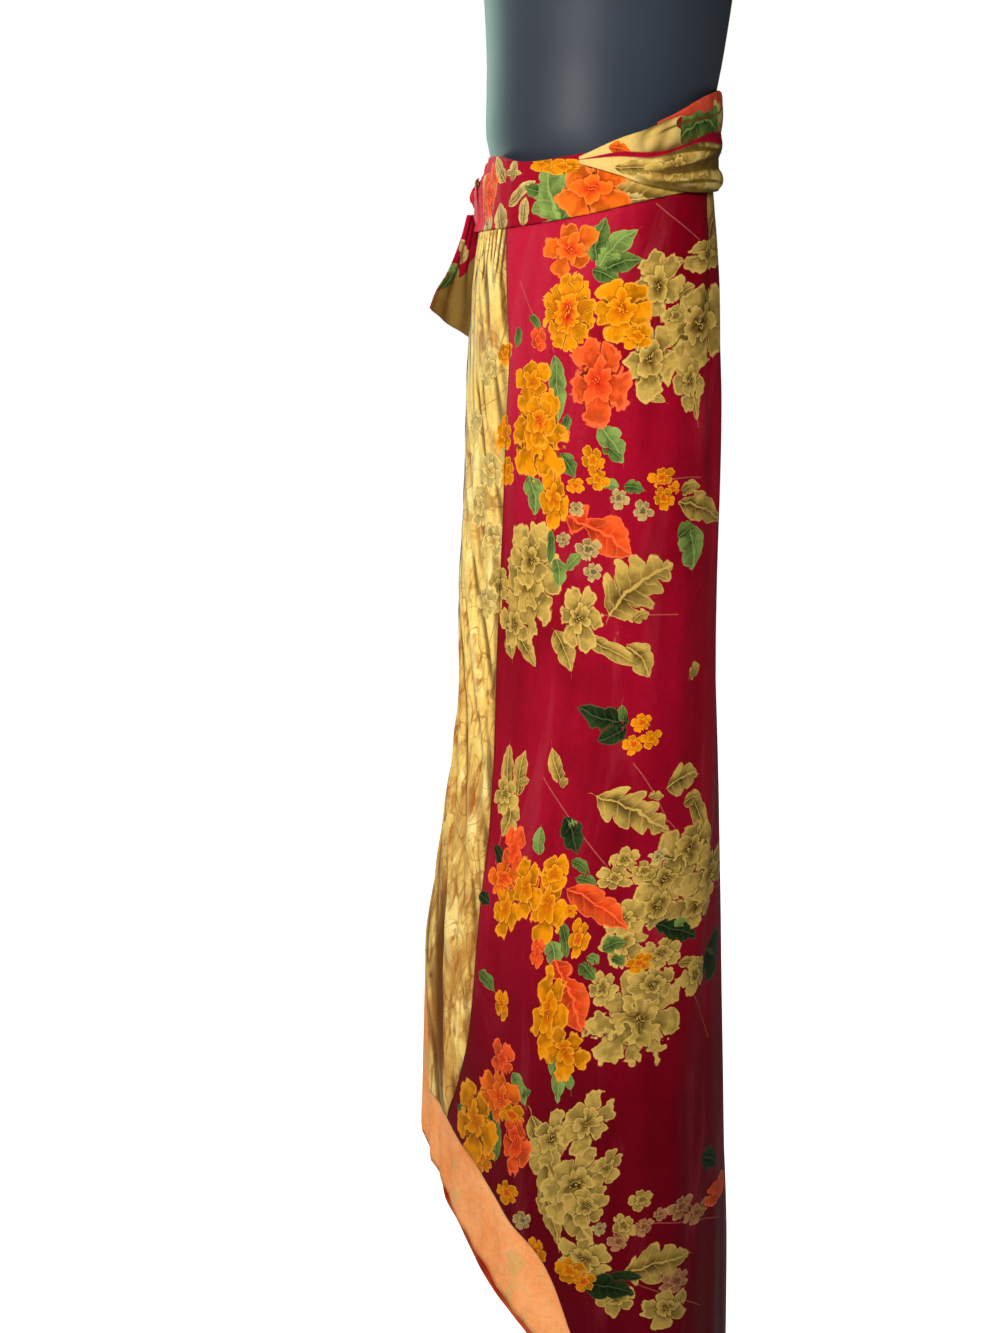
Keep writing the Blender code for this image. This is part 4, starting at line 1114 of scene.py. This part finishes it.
def makeTieShort():
    def lift(along, share, across, drop):
        wave = np.sin(share * 2 * math.pi * tieShort["pleats"] + 0.6 * np.sin(along * 4))
        return tieShort["pleatHeight"] * (1 + wave) * smoothStep(1.0, 0.2, along)

    piece, places = strapShell("tieShort", tieShort, lift)
    layMotifs(piece, places, bandLayers, tieShort["motifs"])
    finishPiece(piece, "tie_short", "band_print_silk", materials["band"])


tails = {
    "columns": 30, "rows": 70, "wall": 0.0009,
    "motifs": (
        ("leafLow", "goldPale", ((402, 84, 10, 70, 50, 2.3),)),
        ("leafLow", "greenPale", ((406, 100, 10, 40, 60, 2.3),)),
        ("leafHigh", "green", ((410, 110, 10, 110, 60, 2.3),)),
        ("leafLow", "gold", ((396, 112, 12, 60, 60, 2.3),))),
    # fold: where the end turns over, as a share of its length, and its slant
    # path: angle, drop, distance out, half width, slant, cut
    "tieEndFront": {
        "node": "tie_end_front", "fold": (0.58, 0.18),
        "path": ((216.0, 0.0575, 0.0060, 0.0045, 20, 0), (217.5, 0.0760, 0.0070, 0.0070, 24, 0),
                 (217.0, 0.1000, 0.0100, 0.0120, 30, 0.004), (216.0, 0.1190, 0.0140, 0.0180, 32, 0.012),
                 (216.0, 0.1390, 0.0165, 0.0220, 30, 0.026))},
    "tieEndBack": {
        "node": "tie_end_back", "fold": (0.70, -0.30),
        "path": ((200.0, 0.0575, 0.0090, 0.009, 0, 0), (194.0, 0.0750, 0.0100, 0.014, -6, 0),
                 (189.5, 0.1000, 0.0100, 0.019, -10, 0), (187.5, 0.1300, 0.0090, 0.022, -12, -0.020))},
}


def makeTail(name):
    spec = tails[name]
    path = [(place, *row) for place, row in enumerate(spec["path"])]
    where = np.linspace(0, len(path) - 1, tails["rows"])
    at, drop, out, half, slant, cut = (tableColumn(path, where, column)[None, :] for column in range(1, 7))
    side = np.linspace(-1.5, 1, tails["columns"])[:, None]
    middle, face = formPoint(at + 0 * side, drop - side * cut / 2, out + 0 * side)
    alongWidth = np.stack([-face[..., 1], face[..., 0], 0 * face[..., 0]], -1)
    slant = np.radians(slant)[..., None]
    sideways = alongWidth * np.cos(slant) + face * np.sin(slant)
    front = face * np.cos(slant) - alongWidth * np.sin(slant)
    fall = where[None, :] / where[-1]
    pleat = 0.25 * half * np.clip(1 - side ** 2, 0, 1) + 0.0018 * np.sin(side * 7 + 2 * fall) * (1 - 0.5 * fall)
    points = middle + sideways * (side * half)[..., None] + front * (pleat + 0 * half)[..., None]
    piece, places = buildShell(name, points, wallBehind(points, front, tails["wall"]), side * half + 0.4,
                               drop + 0 * side, (materials["band"], materials["goldReverse"]))
    # the print shows down to a slanting fold, and the plain reverse below it
    foldShare, foldSlant = spec["fold"]
    reverse = (fall - foldSlant * side > foldShare)[:-1, :-1].ravel()
    shown = np.zeros(len(piece.data.polygons), np.int32)
    shown[:2 * len(reverse)] = np.concatenate([reverse] * 2)
    piece.data.polygons.foreach_set("material_index", shown)
    layMotifs(piece, places, bandLayers, tails["motifs"])
    finishPiece(piece, spec["node"], "tie_print_silk")


knot = {
    "at": 208.0, "drop": 0.046, "out": 0.0024, "half": (0.0130, 0.0085, 0.0150), "segments": 96, "rings": 64,
    "clothScale": 0.012, "clothShift": 0.1,
}


def makeKnot():
    # two wraps of creased ribbon pulled tight over each other
    spec = knot
    bpy.ops.object.select_all(action="DESELECT")
    bpy.ops.mesh.primitive_uv_sphere_add(segments=spec["segments"], ring_count=spec["rings"], radius=1.0)
    piece = bpy.context.object
    piece.name = "tieKnot"
    place, face = formPoint(np.array(spec["at"]), np.array(spec["drop"]), np.array(spec["out"]))
    along = np.array([-face[1], face[0], 0])
    points = np.empty(len(piece.data.vertices) * 3)
    piece.data.vertices.foreach_get("co", points)
    x, y, z = points.reshape(-1, 3).T
    wrap = np.arctan2(z, x)
    grooves = 0.07 * np.sin(9 * y + 1.3 * np.sin(2 * wrap)) + 0.05 * np.sin(17 * y + 3 * wrap)
    cross = 0.14 * np.exp(-((x * 0.8 + z * 0.5) / 0.13) ** 2)
    size = 0.90 + grooves * (1 - 0.4 * z * z) - cross + 0.05 * np.cos(3 * wrap)
    a, b, c = spec["half"]
    moved = (place + along * (x * size * a)[:, None] + face * (y * size * b)[:, None]
             + np.array([0, 0, 1.0]) * (z * size * c)[:, None])
    piece.data.vertices.foreach_set("co", moved.ravel())
    piece.data.update()
    pointOutwards()
    bpy.ops.object.shade_smooth()
    places = np.stack([wrap * spec["clothScale"] + spec["clothShift"], y * spec["clothScale"]], -1)
    corners = np.empty(len(piece.data.loops), np.int32)
    piece.data.loops.foreach_get("vertex_index", corners)
    while piece.data.uv_layers:
        piece.data.uv_layers.remove(piece.data.uv_layers[0])
    piece.data.uv_layers.new(name="cloth").data.foreach_set("uv", places[corners].ravel())
    finishPiece(piece, "knot", "tie_print_silk", materials["knot"])


def pointOutwards():
    bpy.ops.object.mode_set(mode="EDIT")
    bpy.ops.mesh.select_all(action="SELECT")
    bpy.ops.mesh.normals_make_consistent(inside=False)
    bpy.ops.object.mode_set(mode="OBJECT")


for makePiece in (makeInnerPanel, makeOuterPanel, makeFrontBorder, makeWaistband, makeTieWrap, makeTieFold,
                  makeTieShort, makeKnot):
    makePiece()
for tailName in ("tieEndFront", "tieEndBack"):
    makeTail(tailName)
print("cloth made")


# ---- display torso and stand ----
torso = {
    "around": 128, "ringRise": 0.010, "smoothTo": 50,
    # rise over the waist, half width, half depth, forward
    "levels": (
        (-0.24, 0.111, 0.062, 0.008), (-0.232, 0.118, 0.069, 0.008), (-0.18, 0.1245, 0.0725, 0.008),
        (-0.11, 0.117, 0.065, 0.009), (-0.05, 0.1085, 0.061, 0.008), (-0.022, 0.107, 0.064, 0.006),
        (0.0, 0.1073, 0.0713, 0.005), (0.03, 0.109, 0.0742, 0.002), (0.06, 0.113, 0.0765, -0.001),
        (0.12, 0.124, 0.081, -0.003), (0.18, 0.135, 0.089, 0.001), (0.24, 0.143, 0.094, 0.004),
        (0.3, 0.15, 0.088, 0.0), (0.345, 0.152, 0.076, -0.005), (0.375, 0.142, 0.066, -0.01),
        (0.4, 0.108, 0.059, -0.013), (0.418, 0.072, 0.054, -0.014), (0.44, 0.056, 0.052, -0.014),
        (0.48, 0.052, 0.051, -0.01)),
}
metals = {
    # node: material, tone, roughness, metallic, grain each way
    "neck_cap": ("neckCapSteel", (0.62, 0.62, 0.64), 0.28, 1.0, (40, 40, 900)),
    "stand_pole": ("poleSteel", (0.58, 0.58, 0.60), 0.24, 1.0, (900, 900, 12)),
    "stand_base": ("basePaint", (0.012, 0.012, 0.013), 0.42, 0.0, (160, 160, 160)),
}


def makeTorsoMaterial():
    material, n, shader = newMaterial("darkFormLacquer")
    place = n.make("TexCoord", (), "Object")
    haze = n.noise(place, 5.0, 3.0)
    smear = n.noise(n.mapping(place, (1, 1, 0.3)), 14.0, 5.0, 0.65)
    n.fill(shader, {
        "Base Color": n.mix(n.ramp(haze, 0.35, 0.7), (0.020, 0.027, 0.040), (0.026, 0.035, 0.051)),
        "Roughness": n.ramp(smear, 0.3, 0.75, 0.48, 0.56),
        "Normal": n.bump(n.noise(place, 900.0, 2.0), 0.05, 0.0004),
        "Coat Weight": 0.12, "Coat Roughness": 0.30})
    return material


def makeMetalMaterial(name, tone, roughness, metallic, brushed):
    material, n, shader = newMaterial(name)
    grain = n.noise(n.mapping(n.make("TexCoord", (), "Object"), brushed), 1.0, 4.0, 0.7)
    n.fill(shader, {
        "Base Color": n.mix(n.ramp(grain, 0.3, 0.7), tone, [0.82 * part for part in tone]),
        "Roughness": n.ramp(grain, 0.25, 0.75, roughness, roughness + 0.16),
        "Normal": n.bump(grain, 0.08, 0.0003), "Metallic": metallic})
    return material


def makeTorso():
    # a ring raised level by level, closed at both ends
    levels = torso["levels"]
    rises = np.arange(levels[0][0], levels[-1][0], torso["ringRise"])
    rings = [(rise, *(float(tableColumn(levels, rise, column)) for column in (1, 2, 3)))
             for rise in (*rises.tolist(), levels[-1][0])]

    def ringMiddle(ring):
        return (0, -ring[3], skirtForm["waistZ"] + ring[0])

    bpy.ops.object.select_all(action="DESELECT")
    bpy.ops.mesh.primitive_circle_add(vertices=torso["around"], radius=1.0, fill_type="NGON",
                                      location=ringMiddle(rings[0]))
    piece = bpy.context.object
    piece.name = "torsoForm"
    piece.data.name = "torsoForm"
    bpy.ops.object.mode_set(mode="EDIT")
    bpy.ops.mesh.select_all(action="SELECT")
    bpy.ops.transform.resize(value=(*rings[0][1:3], 1), center_override=ringMiddle(rings[0]))
    for before, after in zip(rings[:-1], rings[1:]):
        step = (0, before[3] - after[3], after[0] - before[0])
        bpy.ops.mesh.extrude_region_move(TRANSFORM_OT_translate={"value": step})
        bpy.ops.transform.resize(value=(after[1] / before[1], after[2] / before[2], 1),
                                 center_override=ringMiddle(after))
    pointOutwards()
    bpy.ops.object.transform_apply(location=True, rotation=True, scale=True)
    bpy.ops.object.shade_smooth_by_angle(angle=math.radians(torso["smoothTo"]))
    finishPiece(piece, "display_torso", "dark_form_gloss", makeTorsoMaterial())
    print("torso", len(piece.data.polygons))


makeTorso()
for node, values in metals.items():
    finish = makeMetalMaterial(*values)
    held = frame["nodes"][node]
    for slotPlace in held.material_slots:
        slotPlace.material = finish
    if not held.material_slots:
        held.data.materials.append(finish)

# ---- floor, light, camera ----
studio = {
    "floorSize": 24.0, "floorTone": (0.55, 0.55, 0.55), "floorGlow": 0.08,
    "floorSeen": (0.90, 1.0), "seenFrom": (0.8, 3.0),
    "worldTone": (1.0, 1.0, 1.0), "worldStrength": 0.05,
    # place, aim, width and height, power, tone
    "lights": (
        ("keyLight", (1.96, -1.04, 1.95), (0, 0, 1.30), (0.9, 1.1), 58, (1.0, 0.97, 0.93)),
        ("sideLight", (0.10, -2.10, 1.75), (0, 0, 1.15), (0.9, 1.3), 30, (1.0, 0.97, 0.93)),
        ("edgeLight", (-1.70, -0.20, 1.35), (0, 0, 1.15), (0.9, 1.7), 14, (0.62, 0.95, 0.80)),
        ("backLight", (-2.4, 0.3, 2.1), (0, 0, 0.8), (1.4, 1.4), 34, (1.0, 0.98, 0.96))),
}
camera = {"azimuth": 66.0, "distance": 2.0, "height": 1.14, "sideways": 0.073, "tilt": 12.1, "lens": 73.65}


def placeHolder(name, held, place, aim):
    holder = bpy.data.objects.new(name, held)
    holder.location = place
    holder.rotation_euler = aim.to_track_quat("-Z", "Y").to_euler()
    bpy.context.collection.objects.link(holder)
    return holder


def makeStage():
    bpy.ops.object.select_all(action="DESELECT")
    bpy.ops.mesh.primitive_plane_add(size=studio["floorSize"], location=(0, 0, 0))
    floor = bpy.context.object
    floor.name = "floor"
    material, n, shader = newMaterial("paleFloor")
    direct = n.make("LightPath", (), "Is Camera Ray")
    reach = n.make("VectorMath", (n.make("TexCoord", (), "Object"),), "Value", operation="LENGTH")
    seen = n.ramp(reach, *studio["seenFrom"], *studio["floorSeen"])
    glow = n.ramp(direct, 0, 1, studio["floorGlow"], seen)
    n.fill(shader, {"Base Color": studio["floorTone"], "Roughness": 0.8, "Specular IOR Level": 0.0,
                    "Emission Color": (1, 1, 1), "Emission Strength": glow})
    floor.data.materials.append(material)
    # a white surround that lights the object only softly
    world = bpy.data.worlds.new("studioWorld")
    world.use_nodes = True
    w = Nodes(world.node_tree)
    seen = w.make("LightPath", (), "Is Camera Ray")
    w.fill(world.node_tree.nodes["Background"].inputs,
           {"Color": studio["worldTone"], "Strength": w.ramp(seen, 0, 1, studio["worldStrength"], 1.0)})
    bpy.context.scene.world = world
    for name, place, aim, size, power, tone in studio["lights"]:
        lamp = bpy.data.lights.new(name, "AREA")
        lamp.shape = "RECTANGLE"
        lamp.size, lamp.size_y = size
        lamp.energy = power
        lamp.color = tone
        holder = placeHolder(name, lamp, Vector(place), Vector(aim) - Vector(place))
        # the key light would show as two streaks in the lacquer
        holder.visible_glossy = name != "keyLight"


def makeCamera():
    azimuth = math.radians(camera["azimuth"])
    right = Vector((math.cos(azimuth), math.sin(azimuth), 0))
    outward = Vector((math.sin(azimuth), -math.cos(azimuth), 0))
    eye = outward * camera["distance"] - right * camera["sideways"] + Vector((0, 0, camera["height"]))
    tilt = math.radians(camera["tilt"])
    aim = -outward * math.cos(tilt) - Vector((0, 0, 1)) * math.sin(tilt)
    lens = bpy.data.cameras.new("camera")
    lens.lens = camera["lens"]
    lens.sensor_width = 36
    lens.clip_end = 50
    bpy.context.scene.camera = placeHolder("camera", lens, eye, aim)


makeStage()
makeCamera()
bpy.context.scene.view_settings.view_transform = "Standard"
bpy.context.view_layer.update()
print("stage and camera ready")
